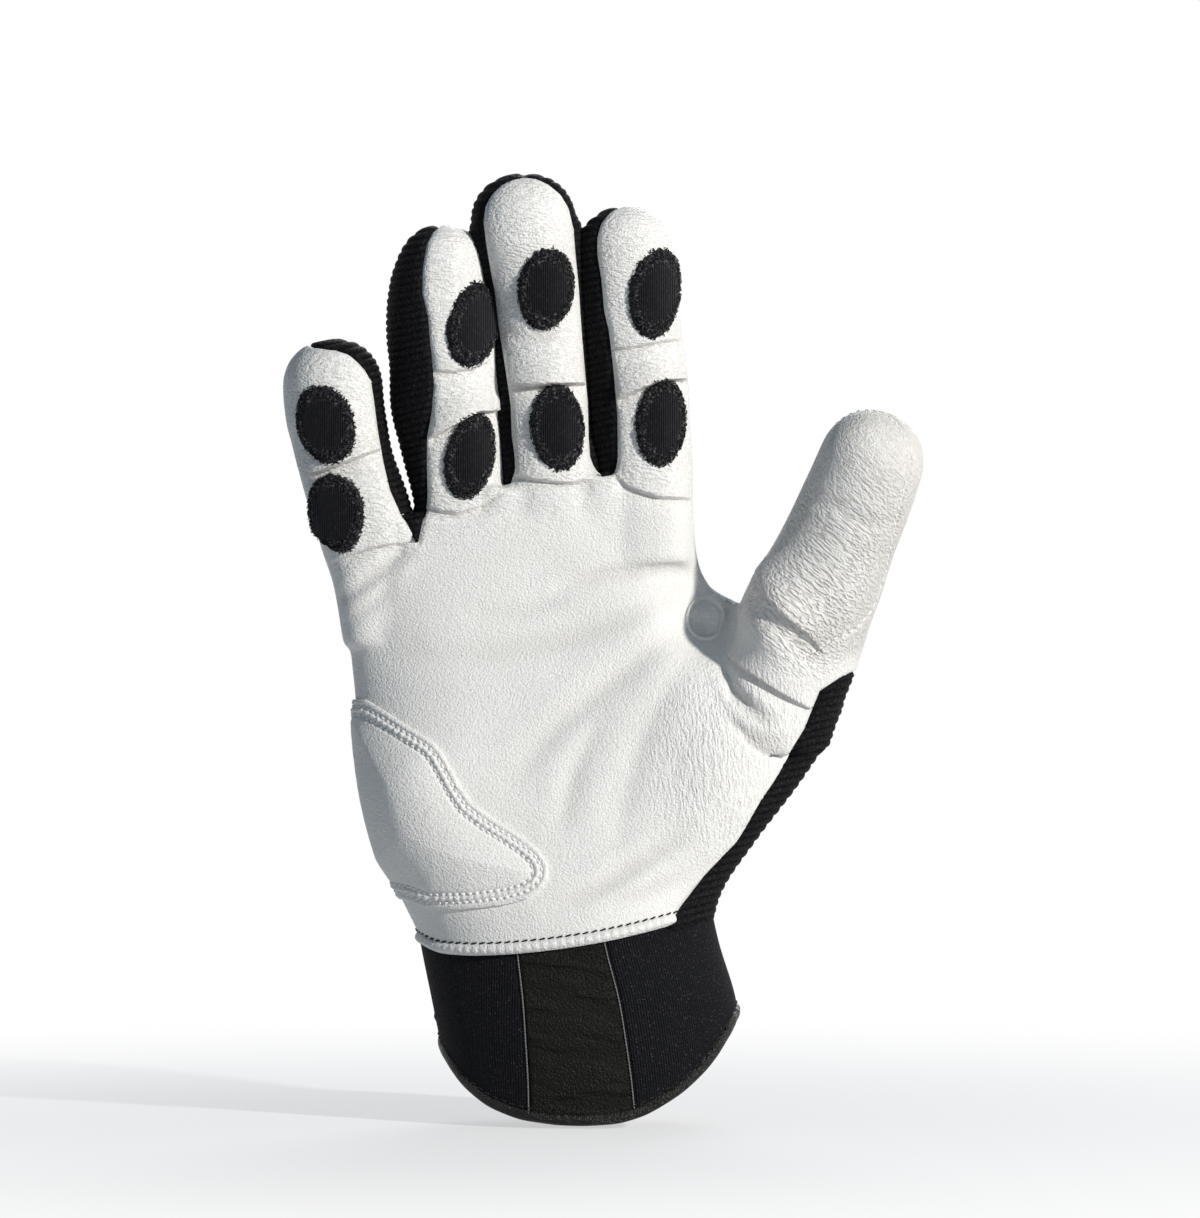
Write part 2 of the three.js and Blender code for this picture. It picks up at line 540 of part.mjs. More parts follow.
function cuffForm(grow, lift = 0, top = CUFF_HEIGHT) {
  const half = CUFF_WIDTH / 2 + grow;
  const depth = CUFF_DEPTH / 2 + grow;
  return loft([
    oval(0, HAND_MIDDLE, (turn) => hemHeight(turn) + lift, half, depth, PALM_SIDES),
    oval(0, HAND_MIDDLE, top, half - CUFF_FLARE, depth - CUFF_FLARE, PALM_SIDES),
  ]);
}

function stripSlice(grow) {
  return loft([[-1, STRIP_HEM_WIDTH], [CUFF_HEIGHT + 1, STRIP_TOP_WIDTH]].map(([z, width]) => [
    new THREE.Vector3(STRIP_OFFSET - width / 2 - grow, -FAR, z),
    new THREE.Vector3(STRIP_OFFSET + width / 2 + grow, -FAR, z),
    new THREE.Vector3(STRIP_OFFSET + width / 2 + grow, HAND_MIDDLE, z),
    new THREE.Vector3(STRIP_OFFSET - width / 2 - grow, HAND_MIDDLE, z),
  ]));
}

function slitSlice(width) {
  return new THREE.BoxGeometry(width, FAR, 4 * CUFF_HEIGHT).translate(SLIT_OFFSET, HAND_MIDDLE + FAR / 2, 0);
}

function halfSpace(sign) {
  return new THREE.BoxGeometry(FAR, 2 * FAR, 4 * CUFF_HEIGHT).translate((sign * FAR) / 2 + STRIP_OFFSET, 0, 0);
}

function addCuff() {
  const lift = BINDING_WALL + SEAM_GAP;
  const inner = solidOf(cuffForm(-NEOPRENE_WALL, -lift, CUFF_HEIGHT + lift));
  const wall = solidOf(cuffForm(0, lift)).subtract(inner);
  const panels = wall.subtract(solidOf(stripSlice(SEAM_GAP))).subtract(solidOf(slitSlice(SLIT_WIDTH)));
  const backSplit = solidOf(slitSlice(SEAM_GAP));
  const pieces = panels.subtract(backSplit).decompose();
  const centreX = (solid) => solid.boundingBox().min[0] + solid.boundingBox().max[0];
  pieces.sort((a, b) => centreX(a) - centreX(b));
  addPiece(glove, "cuff_outer_panel", pieces[0], blackNeoprene);
  addPiece(glove, "cuff_thumb_panel", pieces[1], blackNeoprene);
  addPiece(glove, "cuff_leather_strip", wall.intersect(solidOf(stripSlice(0))), blackLeather);

  const skin = BINDING_WALL + SEAM_GAP;
  const band = solidOf(cuffForm(skin)).subtract(solidOf(cuffForm(skin + 5, BINDING_HEIGHT, CUFF_HEIGHT + 1)))
    .subtract(solidOf(cuffForm(-NEOPRENE_WALL - skin, -1, CUFF_HEIGHT + 1)));
  const channel = solidOf(cuffForm(SEAM_GAP, BINDING_WALL, CUFF_HEIGHT + 1))
    .subtract(solidOf(cuffForm(-NEOPRENE_WALL - SEAM_GAP, -1, CUFF_HEIGHT + 2)));
  addPiece(glove, "hem_binding", band.subtract(channel).subtract(solidOf(slitSlice(SLIT_WIDTH))), blackLeather);
}
addCuff();

// Hook-and-loop strap across the back of the wrist: sewn tab, swinging strap, hook and loop pads
function strapWindow(fromX, toX, margin) {
  const low = HEM_RISE + BINDING_HEIGHT + margin;
  const high = CUFF_HEIGHT - STRAP_TOP_MARGIN - margin;
  return new THREE.BoxGeometry(toX - fromX, FAR, high - low)
    .translate((fromX + toX) / 2, HAND_MIDDLE + FAR / 2 + CUFF_DEPTH * 0.15, (low + high) / 2);
}

function cuffLayer(inner, outer, window) {
  const reach = (grow) => cuffForm(grow, -HEM_RISE - 5, 2 * CUFF_HEIGHT);
  return layer(reach, inner, outer).intersect(solidOf(window));
}

function addStrap() {
  const strapStart = -STRAP_LENGTH / 2;
  const strapEnd = STRAP_LENGTH / 2;
  const loopTop = SEAM_GAP + LOOP_THICKNESS;
  const hookTop = loopTop + SEAM_GAP + HOOK_THICKNESS;
  const strapFloor = hookTop + SEAM_GAP;
  const strapTop = strapFloor + STRAP_THICKNESS;
  addPiece(glove, "loop_pad",
    cuffLayer(SEAM_GAP, loopTop, strapWindow(strapEnd - PAD_LENGTH, strapEnd - PAD_MARGIN, PAD_MARGIN)), blackPlush);
  addPiece(glove, "strap_tab",
    cuffLayer(SEAM_GAP, strapTop, strapWindow(strapStart - STRAP_TAB_LENGTH, strapStart - SEAM_GAP, 0)), blackNeoprene);

  const half = CUFF_WIDTH / 2 + strapTop;
  const hinge = new THREE.Vector3(strapStart,
    HAND_MIDDLE + (CUFF_DEPTH / 2 + strapTop) * Math.sqrt(1 - (strapStart / half) ** 2), CUFF_HEIGHT / 2);
  const strapGroup = groupAt(glove, hinge);
  addPiece(strapGroup, "closure_strap", cuffLayer(strapFloor, strapTop, strapWindow(strapStart, strapEnd, 0)), blackNeoprene);
  addPiece(strapGroup, "hook_pad",
    cuffLayer(loopTop + SEAM_GAP, hookTop, strapWindow(strapEnd - PAD_LENGTH, strapEnd - PAD_MARGIN, PAD_MARGIN)), blackPlush);
  return hinge;
}
addStrap();

export default glove;
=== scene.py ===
import json
import math

import bpy
import numpy as np
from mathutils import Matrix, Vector
from mathutils.bvhtree import BVHTree


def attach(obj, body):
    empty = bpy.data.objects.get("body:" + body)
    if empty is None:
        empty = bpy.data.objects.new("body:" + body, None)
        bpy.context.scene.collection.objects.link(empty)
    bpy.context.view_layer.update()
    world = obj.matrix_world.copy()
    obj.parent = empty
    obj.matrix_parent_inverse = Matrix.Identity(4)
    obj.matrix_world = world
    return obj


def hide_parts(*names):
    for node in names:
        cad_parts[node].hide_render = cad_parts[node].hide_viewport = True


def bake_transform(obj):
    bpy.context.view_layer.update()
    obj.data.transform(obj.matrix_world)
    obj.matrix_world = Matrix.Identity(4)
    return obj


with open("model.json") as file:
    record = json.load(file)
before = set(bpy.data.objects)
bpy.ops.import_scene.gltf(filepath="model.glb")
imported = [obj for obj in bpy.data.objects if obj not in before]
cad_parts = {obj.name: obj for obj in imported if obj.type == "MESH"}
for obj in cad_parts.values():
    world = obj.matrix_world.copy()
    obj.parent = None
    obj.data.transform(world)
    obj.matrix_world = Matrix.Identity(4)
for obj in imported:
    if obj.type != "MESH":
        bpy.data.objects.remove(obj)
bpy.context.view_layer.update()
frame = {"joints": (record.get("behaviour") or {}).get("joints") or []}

# The studio: a pale floor under the cuff, a white backdrop, a key lamp high on the right and a soft cool fill
# from the front. The camera looks straight at the palm from a long way off, as the photograph does.
def add_node(tree, kind, **values):
    """A shader node with its settings, and with its inputs set or linked."""
    node = tree.nodes.new("ShaderNode" + kind)
    for name, value in values.items():
        if hasattr(node, name):
            setattr(node, name, value)
            continue
        socket = node.inputs[int(name[1:])] if name[0] == "_" else node.inputs[name.replace("_", " ")]
        if isinstance(value, bpy.types.NodeSocket):
            tree.links.new(value, socket)
        else:
            socket.default_value = value
    return node


def reckon(tree, operation, *values, clamp=False):
    """The result of one sum on values and sockets."""
    inputs = {f"_{k}": value for k, value in enumerate(values)}
    return add_node(tree, "Math", operation=operation, use_clamp=clamp, **inputs).outputs[0]


def ranged(tree, value, **limits):
    """A value taken from one range to another."""
    return add_node(tree, "MapRange", Value=value, **limits).outputs[0]


def finish(name, specular, roughness):
    """A new material: its node tree, and the places on the object that its patterns start from."""
    material = bpy.data.materials.new(name)
    material.use_nodes = True
    body = material.node_tree.nodes["Principled BSDF"]
    body.inputs["Specular IOR Level"].default_value = specular
    body.inputs["Roughness"].default_value = roughness
    return material, material.node_tree, add_node(material.node_tree, "TexCoord").outputs


def seen_plainly(tree):
    """One where the eye, a gloss or glass looks at the surface, and nought for the light it throws."""
    ray = add_node(tree, "LightPath").outputs
    share = reckon(tree, "ADD", ray["Is Camera Ray"], ray["Is Glossy Ray"])
    return reckon(tree, "ADD", share, ray["Is Transmission Ray"], clamp=True)


scene = bpy.context.scene
scene.view_settings.view_transform = "Standard"
scene.world = bpy.data.worlds.new("backdrop")
scene.world.use_nodes = True
sky = scene.world.node_tree
sky.nodes.clear()
sky_fill = add_node(sky, "Background", Color=(0.33, 0.64, 1.0, 1), Strength=0.13)
sky_seen = add_node(sky, "Background", Color=(1, 1, 1, 1))
sky_mix = add_node(sky, "MixShader", _0=seen_plainly(sky), _1=sky_fill.outputs[0], _2=sky_seen.outputs[0])
add_node(sky, "OutputWorld", Surface=sky_mix.outputs[0])

bpy.ops.object.select_all(action="DESELECT")
bpy.ops.mesh.primitive_circle_add(vertices=96, radius=6, fill_type="NGON", location=(0, 0, -0.0006))
floor = bpy.context.object
floor.name = "studio_floor"
bpy.ops.object.transform_apply(location=True, rotation=True, scale=True)
floor_white, floor_tree, floor_place = finish("floor_white", 0.5, 0.9)
floor_body = floor_tree.nodes["Principled BSDF"]
floor_body.inputs["Base Color"].default_value = (0.7, 0.7, 0.7, 1)
floor_glow = add_node(floor_tree, "Emission", Color=(1, 1, 1, 1))
floor_reach = add_node(floor_tree, "VectorMath", operation="LENGTH", _0=floor_place["Object"])
floor_fade = ranged(floor_tree, floor_reach.outputs["Value"], interpolation_type="SMOOTHSTEP",
                    From_Min=0.05, From_Max=0.42, To_Min=0.55)
floor_seen = reckon(floor_tree, "MULTIPLY", floor_fade, seen_plainly(floor_tree))
floor_mix = add_node(floor_tree, "MixShader", _0=floor_seen, _1=floor_body.outputs[0],
                     _2=floor_glow.outputs[0])
floor_tree.links.new(floor_mix.outputs[0], floor_tree.nodes["Material Output"].inputs["Surface"])
floor.data.materials.append(floor_white)


def studio_lamp(name, place, size, power, tint):
    """A round lamp that is aimed at the middle of the glove."""
    lamp = bpy.data.lights.new(name, "AREA")
    lamp.shape = "DISK"
    lamp.size = size
    lamp.energy = power
    lamp.color = tint
    holder = bpy.data.objects.new(name, lamp)
    scene.collection.objects.link(holder)
    holder.location = place
    holder.rotation_euler = (Vector((0, 0, 0.12)) - Vector(place)).to_track_quat("-Z", "Y").to_euler()


studio_lamp("key_lamp", (1.22, -1.12, 0.73), 0.1, 35, (1.0, 0.97, 0.93))
studio_lamp("fill_lamp", (0.5, -1.5, 1.0), 1.3, 0.9, (0.45, 0.72, 1.0))
studio_lamp("back_lamp", (0.3, 1.4, 1.0), 1.0, 15, (0.95, 0.97, 1.0))

# size of one pixel of the 1200 by 1218 picture at the palm's face, in mm
pixel_size = 0.252
camera_away = 1.6
palm_forward = 0.012
camera = bpy.data.cameras.new("camera")
camera.sensor_fit = "VERTICAL"
camera.sensor_height = 24
camera.lens = camera.sensor_height * (camera_away - palm_forward) / (1218 * pixel_size * 0.001)
camera.clip_end = 20
camera_holder = bpy.data.objects.new("camera", camera)
scene.collection.objects.link(camera_holder)
camera_holder.location = (0.00302, -camera_away, 0.1295)
camera_holder.rotation_euler = (math.radians(90), 0, 0)
scene.camera = camera_holder


# The form: the last that the glove is stretched over. A palm, four fingers, their webs and a thumb are
# blended into one skin, on which the pattern pieces are then marked out. The fingers are drawn apart while
# the skin is made, so that they don't fuse, and then brought back. All sizes are in mm.
def smooth_between(low, high, value):
    t = np.clip((np.asarray(value, float) - low) / (high - low), 0, 1)
    return t * t * (3 - 2 * t)


def along_table(table, heights):
    """Rows of a table at the given heights, on a smooth curve through its stations."""
    table = np.array(table, float)
    at, rows = table[:, 0], table[:, 1:]
    slope = np.gradient(rows, at, axis=0)
    heights = np.clip(heights, at[0], at[-1])
    i = np.clip(np.searchsorted(at, heights) - 1, 0, len(at) - 2)
    step = (at[i + 1] - at[i])[:, None]
    t = (heights - at[i])[:, None] / step
    return (
        (2 * t**3 - 3 * t**2 + 1) * rows[i]
        + (t**3 - 2 * t**2 + t) * step * slope[i]
        + (3 * t**2 - 2 * t**3) * rows[i + 1]
        + (t**3 - t**2) * step * slope[i + 1]
    )


def oval(turn, half_width, half_depth, fullness):
    """Points of an oval from straight ahead (-Y) towards the thumb (+X). A fullness above 2 squares it."""
    s, c = np.sin(turn), np.cos(turn)
    return (
        half_width * np.sign(s) * np.abs(s) ** (2 / fullness),
        -half_depth * np.sign(c) * np.abs(c) ** (2 / fullness),
    )


def mesh_object(name, points, faces):
    """A new object in the scene, from points in mm."""
    mesh = bpy.data.meshes.new(name)
    faces = faces.tolist() if isinstance(faces, np.ndarray) else faces
    mesh.from_pydata((np.asarray(points, float) * 0.001).tolist(), [], faces)
    piece = bpy.data.objects.new(name, mesh)
    scene.collection.objects.link(piece)
    return piece


def tube_faces(count, sides, first=0, ends=True):
    """Faces between rings of points that follow each other, and over both ends."""
    i, j = np.meshgrid(np.arange(count - 1), np.arange(sides), indexing="ij")
    k = (j + 1) % sides
    walls = np.stack([i * sides + j, i * sides + k, (i + 1) * sides + k, (i + 1) * sides + j], -1)
    caps = [np.arange(sides)[::-1], np.arange((count - 1) * sides, count * sides)] if ends else []
    return (first + walls.reshape(-1, 4)).tolist() + [(first + cap).tolist() for cap in caps]


def closed_tube(name, rings):
    rings = np.array(rings)
    return mesh_object(name, rings.reshape(-1, 3), tube_faces(*rings.shape[:2]))


# height, little-finger edge, thumb edge, palm side, back of the hand
palm_stations = [
    (30, -41.5, 33, -25, 24.5), (44, -42.0, 31.4, -24.5, 24), (57, -47.8, 33.6, -23.5, 21.5),
    (71, -52.8, 42.8, -22, 19), (86, -56.6, 54.2, -20, 17.2), (98, -58.6, 61.8, -18.6, 16.4),
    (108, -59.2, 65.2, -17.4, 16), (115, -60, 62, -16.4, 15.8), (122, -60.4, 50, -15.6, 15.4),
    (128, -61, 42.5, -14.8, 15), (131.5, -61.8, 37.6, -14.4, 14.8), (134, -62.8, 32.2, -14, 14.6),
    (137, -63.8, 29.8, -13.6, 14.4), (145, -65.8, 27.4, -12.6, 13.6), (153, -66, 26.8, -12, 12.6),
]
# height, middle of the stall, half its width; the last row is the tip
finger_stations = {
    "index": [(140, 15.2, 11.8), (157, 15.1, 11.5), (163, 15.0, 11.4), (170, 14.3, 11.8), (177, 13.6, 12.1),
              (185, 13.1, 12.2), (192, 12.6, 12.1), (200, 11.6, 11.9), (207, 11, 11.8), (213, 10.5, 11.7),
              (219.5, 9.9, 11.4), (231.8, 9.7, 11.2)],
    "middle": [(138, -8.8, 12.2), (157, -8.8, 12.1), (163, -8.9, 12.0), (173, -10.4, 11.7),
               (181, -10.9, 11.8), (192, -11.6, 11.8), (200, -12.1, 11.8), (210, -13.4, 12.3),
               (217, -14.4, 12.9), (222, -15.4, 13.5), (229, -16.2, 13.3), (240, -16.2, 13.0)],
    "ring": [(130, -32, 10.8), (149, -32.4, 11.2), (157, -32.7, 11.2), (165, -34.1, 11.9),
             (171, -35.1, 12.5), (180, -36.4, 13.3), (192, -36.9, 13.2), (198, -37.5, 13.3),
             (207, -38.1, 12.5), (214, -38.2, 11.3), (220, -37.4, 10.0), (227, -37, 8.8)],
    "little": [(120, -52.2, 9.8), (137, -54.1, 10.9), (147, -55.9, 12.1), (152, -57, 12.5),
               (158, -58.6, 12.7), (165, -60.9, 12.4), (170, -62.4, 12.2), (177, -63.8, 12.5),
               (182.5, -64.5, 12.4), (188.5, -64.7, 12.4), (198, -64.4, 12.6)],
}
fingers = list(finger_stations)
# where each pair of neighbours parts, from the thumb side
crotch_heights = (165.5, 162.5, 154.5)


def finger_line(name, heights):
    """Middle, half width and half depth of a finger at the given heights, rounded off at the tip."""
    heights = np.asarray(heights, float)
    rows = along_table(finger_stations[name], heights)
    top, _, full = finger_stations[name][-1]
    cap = np.clip((heights - (top - full * 1.02)) / (full * 1.02), 0, 1)
    round_off = np.sqrt(np.clip(1 - cap**2.25, 0, 1))
    middle_y = -5 * np.clip((heights - 150) / (top - 150), 0, 1) ** 1.6
    depth = rows[:, 1] * (0.98 - 0.1 * smooth_between(150, top, heights))
    return rows[:, 0], middle_y, rows[:, 1] * round_off, depth * round_off


def drawn_apart(number, heights):
    """How far a finger is moved sideways while the skin is made."""
    opened = [6.0 * smooth_between(c - 5, c + 11, heights) for c in crotch_heights]
    return (opened[0], 0 * opened[0], -opened[1], -opened[1] - opened[2])[number]


def parting(number, heights):
    """The line between a finger and the next one, while they are drawn apart."""
    near, _, near_half, _ = finger_line(fingers[number], heights)
    far, _, far_half, _ = finger_line(fingers[number + 1], heights)
    left = near - near_half + drawn_apart(number, heights)
    return (left + far + far_half + drawn_apart(number + 1, heights)) / 2


# the thumb from its ball to its tip: place along it, x, y, z, half its width
thumb_stations = [
    (0, 44.5, -1.5, 100, 17.5), (12, 48.5, -5, 111.2, 17), (22, 52.2, -8, 120.5, 16.8),
    (32, 55.4, -11.3, 129.4, 16.3), (42, 59.6, -14.8, 138.2, 15.2), (52, 63.2, -18.2, 147.1, 14.2),
    (62, 66.9, -21.4, 156.0, 13.8), (72, 70.3, -24.4, 164.9, 13.3), (86.6, 74.7, -28.4, 178.6, 12.4),
]
thumb_length = thumb_stations[-1][0]


def thumb_line(places):
    """Middle, half width, half depth and the across, back and along directions of the thumb."""
    places = np.asarray(places, float)
    rows = along_table(thumb_stations, places)
    ahead = along_table(thumb_stations, np.clip(places + 2, 0, thumb_length))[:, :3]
    behind = along_table(thumb_stations, np.clip(places - 2, 0, thumb_length))[:, :3]
    along = ahead - behind
    along /= np.linalg.norm(along, axis=1)[:, None]
    across = np.cross((0, 1.0, 0), along)
    across /= np.linalg.norm(across, axis=1)[:, None]
    full = thumb_stations[-1][4]
    cap = np.clip((places - (thumb_length - full * 1.05)) / (full * 1.05), 0, 1)
    half = rows[:, 3] * np.sqrt(np.clip(1 - cap**2.2, 0, 1))
    return rows[:, :3], half, half * 0.9, across, np.cross(along, across), along


ring_turns = np.linspace(0, 2 * np.pi, 81)[:-1]
form_parts = []
palm_heights = np.linspace(30, 153, 62)
rings = []
for height, (left, right, front, rear) in zip(palm_heights, along_table(palm_stations, palm_heights)):
    x, y = oval(ring_turns, (right - left) / 2, 1, 2.35)
    rings.append(np.stack([x + (left + right) / 2, np.where(y < 0, -y * front, y * rear), 0 * x + height], 1))
form_parts.append(closed_tube("palm_form", rings))
for number, name in enumerate(fingers):
    heights = np.linspace(finger_stations[name][0][0], finger_stations[name][-1][0] - 0.02, 90)
    middle, middle_y, half, depth = finger_line(name, heights)
    squareness = 2.1 + 0.8 * smooth_between(175, 150, heights)
    rings = []
    for i, height in enumerate(heights):
        x, y = oval(ring_turns, half[i], depth[i], squareness[i])
        x += middle[i] + drawn_apart(number, height)
        rings.append(np.stack([x, y + middle_y[i], 0 * x + height], 1))
    form_parts.append(closed_tube("finger_form", rings))
for number, crotch in enumerate(crotch_heights):
    rings = []
    for height in np.linspace(crotch - 26, crotch - 2.2, 20):
        x, y = oval(ring_turns, 8.5, 11.2, 3.2)
        rings.append(np.stack([x + float(parting(number, [height])[0]), y, 0 * x + height], 1))
    form_parts.append(closed_tube("web_form", rings))
centre, half, depth, across, back, _ = thumb_line(np.linspace(0, thumb_length - 0.02, 90))
rings = []
for i in range(len(centre)):
    x, y = oval(ring_turns, half[i], depth[i], 2.1)
    rings.append(centre[i] + x[:, None] * across[i] + y[:, None] * back[i])
form_parts.append(closed_tube("thumb_form", rings))
bpy.ops.object.select_all(action="DESELECT")
for part in form_parts:
    part.select_set(True)
bpy.context.view_layer.objects.active = form_parts[0]
bpy.ops.object.join()
form = bpy.context.object
form.data.remesh_voxel_size = 0.0009
bpy.ops.object.voxel_remesh()
relax = form.modifiers.new("relax", "SMOOTH")
relax.factor = 0.5
relax.iterations = 22
bpy.ops.object.modifier_apply(modifier="relax")
form.data.calc_loop_triangles()
skin = np.zeros(len(form.data.vertices) * 3)
form.data.vertices.foreach_get("co", skin)
skin = skin.reshape(-1, 3) * 1000
skin_faces = np.zeros(len(form.data.loop_triangles) * 3, int)
form.data.loop_triangles.foreach_get("vertices", skin_faces)
skin_faces = skin_faces.reshape(-1, 3)
bpy.data.objects.remove(form)


def finger_of(skin):
    """The number of the finger a point belongs to, from its place while the fingers are drawn apart."""
    return sum((skin[:, 3] < parting(number, skin[:, 2])).astype(int) for number in range(3))


# no finger reaches this far towards the thumb
thumb_side = 32
# columns: the point itself, then its sideways place while the fingers are drawn apart
skin = np.column_stack([skin, skin[:, 0]])
apart = np.stack([drawn_apart(number, skin[:, 2]) for number in range(4)])
owner = finger_of(skin)
skin[:, 0] -= np.where(skin[:, 3] < thumb_side, apart[owner, np.arange(len(skin))], 0)
# the three longer stalls stand side by side and touch
for number in (0, 1):
    near, _, near_half, _ = finger_line(fingers[number], skin[:, 2])
    far, _, far_half, _ = finger_line(fingers[number + 1], skin[:, 2])
    gap = (skin[:, 0] - (near - near_half + far + far_half) / 2) * np.where(owner == number, 1, -1)
    close = smooth_between(3.0, 0.6, gap) * smooth_between(-4, 0, skin[:, 2] - crotch_heights[number])
    close *= (owner == number) | (owner == number + 1)
    skin[:, 0] -= np.clip(gap - 0.06, 0, 0.9) * close * np.where(owner == number, 1, -1)


# Pattern lines: where the leather meets the knit, where the finger and thumb panels meet the palm, and the
# hem. The lines are drawn on the skin as a maker chalks them on a last, and the skin is scored along each
# of them.
def from_picture(points):
    """Picture pixels as x and height in mm."""
    return np.array([((px - 588) * pixel_size, (1123 - py) * pixel_size) for px, py in points])


def crossed(faces, value):
    """The faces that the line of no value crosses, and their corners, the one alone on its side first."""
    above = (value > 0)[faces]
    split = above.any(1) & ~above.all(1)
    side = above[split]
    lone = np.where(side.sum(1) == 1, side.argmax(1), side.argmin(1))
    rows = np.arange(len(side))
    return split, *(faces[split][rows, (lone + k) % 3] for k in range(3))


def scored(skin, faces, field):
    """Splits the faces along the line where the field is zero."""
    value = field(skin)
    split, a, b, c = crossed(faces, value)
    cut = np.sort(np.vstack([np.stack([a, b], 1), np.stack([a, c], 1)]), 1)
    edges, which = np.unique(cut, axis=0, return_inverse=True)
    start, end = edges.T
    t = np.clip(value[start] / (value[start] - value[end]), 0.04, 0.96)
    added = skin[start] + t[:, None] * (skin[end] - skin[start])
    ab, ac = (len(skin) + which.ravel()).reshape(2, -1)
    pieces = [faces[~split], np.stack([a, ab, ac], 1), np.stack([ab, b, c], 1), np.stack([ab, c, ac], 1)]
    return np.vstack([skin, added]), np.vstack(pieces)


def trimmed(skin, faces, field):
    """The part of a skin where the field is above zero."""
    skin, faces = scored(skin, faces, field)
    value = field(skin)
    faces = faces[np.where(np.abs(value) < 1e-6, 0, value)[faces].sum(1) > 0]
    used, renumbered = np.unique(faces, return_inverse=True)
    return skin[used], renumbered.reshape(-1, 3)


# the seams that show on the finger fronts, from the crotch up; the others lie round the side
finger_seams = {
    ("index", "left"): [(608, 474.5), (612, 473), (615, 467), (616.5, 458), (616.5, 438), (616, 414),
                        (613.5, 384), (610.5, 354), (607.5, 330), (603, 312), (600, 279), (596, 255),
                        (596, 237), (600, 222), (609, 210), (622, 204), (632, 203)],
    ("middle", "right"): [(608, 474.5), (603, 473), (598.5, 470), (594.5, 464), (591.5, 456), (590, 435),
                          (589.5, 405), (585.5, 360), (583, 330), (580, 285), (576.5, 250), (575, 228),
                          (570, 207), (562, 193.5), (551, 184), (540, 178.6), (524, 176.6)],
    ("middle", "left"): [(504, 484), (509, 482), (513.5, 470), (513, 456), (510, 435), (509, 405),
                         (506, 384), (501, 351), (496.5, 324), (493.5, 294), (489, 270), (484.5, 243),
                         (482, 222), (484, 206), (490, 194), (499, 184.5), (510, 179), (524, 176.6)],
    ("ring", "left"): [(417, 543), (420, 533), (424, 513), (426, 495), (425.5, 468), (426, 438), (431, 414),
                       (434, 384), (430, 342), (428, 318), (422, 294), (422, 270), (426, 243), (432, 230),
                       (438, 223.5), (444, 221)],
    ("little", "right"): [(417, 543), (410, 530), (401, 512), (391, 490), (384, 460), (378, 425),
                          (375, 400), (372, 381), (366, 370), (359, 362), (350, 354), (338, 350),
                          (326, 348.5), (315, 347), (307, 343)],
}
# the seam between leather and knit below the thumb
thumb_side_seam = [(640, 965), (672, 922), (681, 907), (699, 885), (711, 870), (736, 840), (758, 800),
                   (780, 770), (805, 730), (820, 692), (846, 676), (890, 660), (965, 625)]
# where the finger panels meet the palm, and where a finger's two panels meet
root_line = np.array([(-75, 127.0), (-66, 131), (-43, 143), (-21.1, 151.6), (3.5, 154.6), (34, 154.6)])
panel_heights = (176.4, 175.4, 167.6, 153.6)
# how far along the thumb its panels meet the palm and each other
thumb_root_place = 24.5
thumb_panel_place = 40.5
hem_points = [(-60, 49.5), (-46, 46.7), (-42.1, 45.2), (-38.9, 43.9), (-32, 43.2), (-23.4, 43.4),
              (-11.9, 44.4), (3, 46.6), (21.7, 50.9), (45, 57.5)]
hem_places = np.linspace(-60, 45, 211)
hem_line = np.column_stack([hem_places, along_table(hem_points, hem_places)])


def past_root(skin):
    return skin[:, 2] - np.interp(skin[:, 0], *root_line.T)


def thumb_place(skin):
    """How far along the thumb a point lies, and how far across and behind its middle."""
    stops = np.linspace(0, thumb_length, 45)
    middles, _, _, across, back, along = thumb_line(stops)
    nearest = np.concatenate([
        np.argmin(((part[:, None, :] - middles[None]) ** 2).sum(2), axis=1)
        for part in np.array_split(skin[:, :3], max(1, len(skin) // 20000))
    ])
    offset = skin[:, :3] - middles[nearest]
    place = stops[nearest] + (offset * along[nearest]).sum(1)
    return place, (offset * across[nearest]).sum(1), (offset * back[nearest]).sum(1)


def past_thumb_root(skin):
    field = np.full(len(skin), -40.0)
    near = skin[:, 0] > 30
    place, across, _ = thumb_place(skin[near])
    field[near] = np.minimum(place - thumb_root_place, 20 - np.abs(across))
    return field


# turns round the thumb in degrees: of its outer seam, at places along it, and of its inner seam
thumb_seam_turns = np.array([(24, 12), (31, 34), (36, 58), (41, 75), (50, 77), (58, 66), (68, 55), (90, 50)])
inner_seam_turn = 248


def past_thumb_seam(skin):
    """Above zero behind the seam between the thumb's front and back panels: about the distance from it."""
    field = np.full(len(skin), -40.0)
    near = past_thumb_root(skin) > -1
    place, across, behind = thumb_place(skin[near])
    turn = np.degrees(np.arctan2(across, -behind)) % 360
    seam = np.interp(place, *thumb_seam_turns.T)
    field[near] = np.minimum(turn - seam, inner_seam_turn - turn) * np.hypot(across, behind) * math.pi / 180
    return field


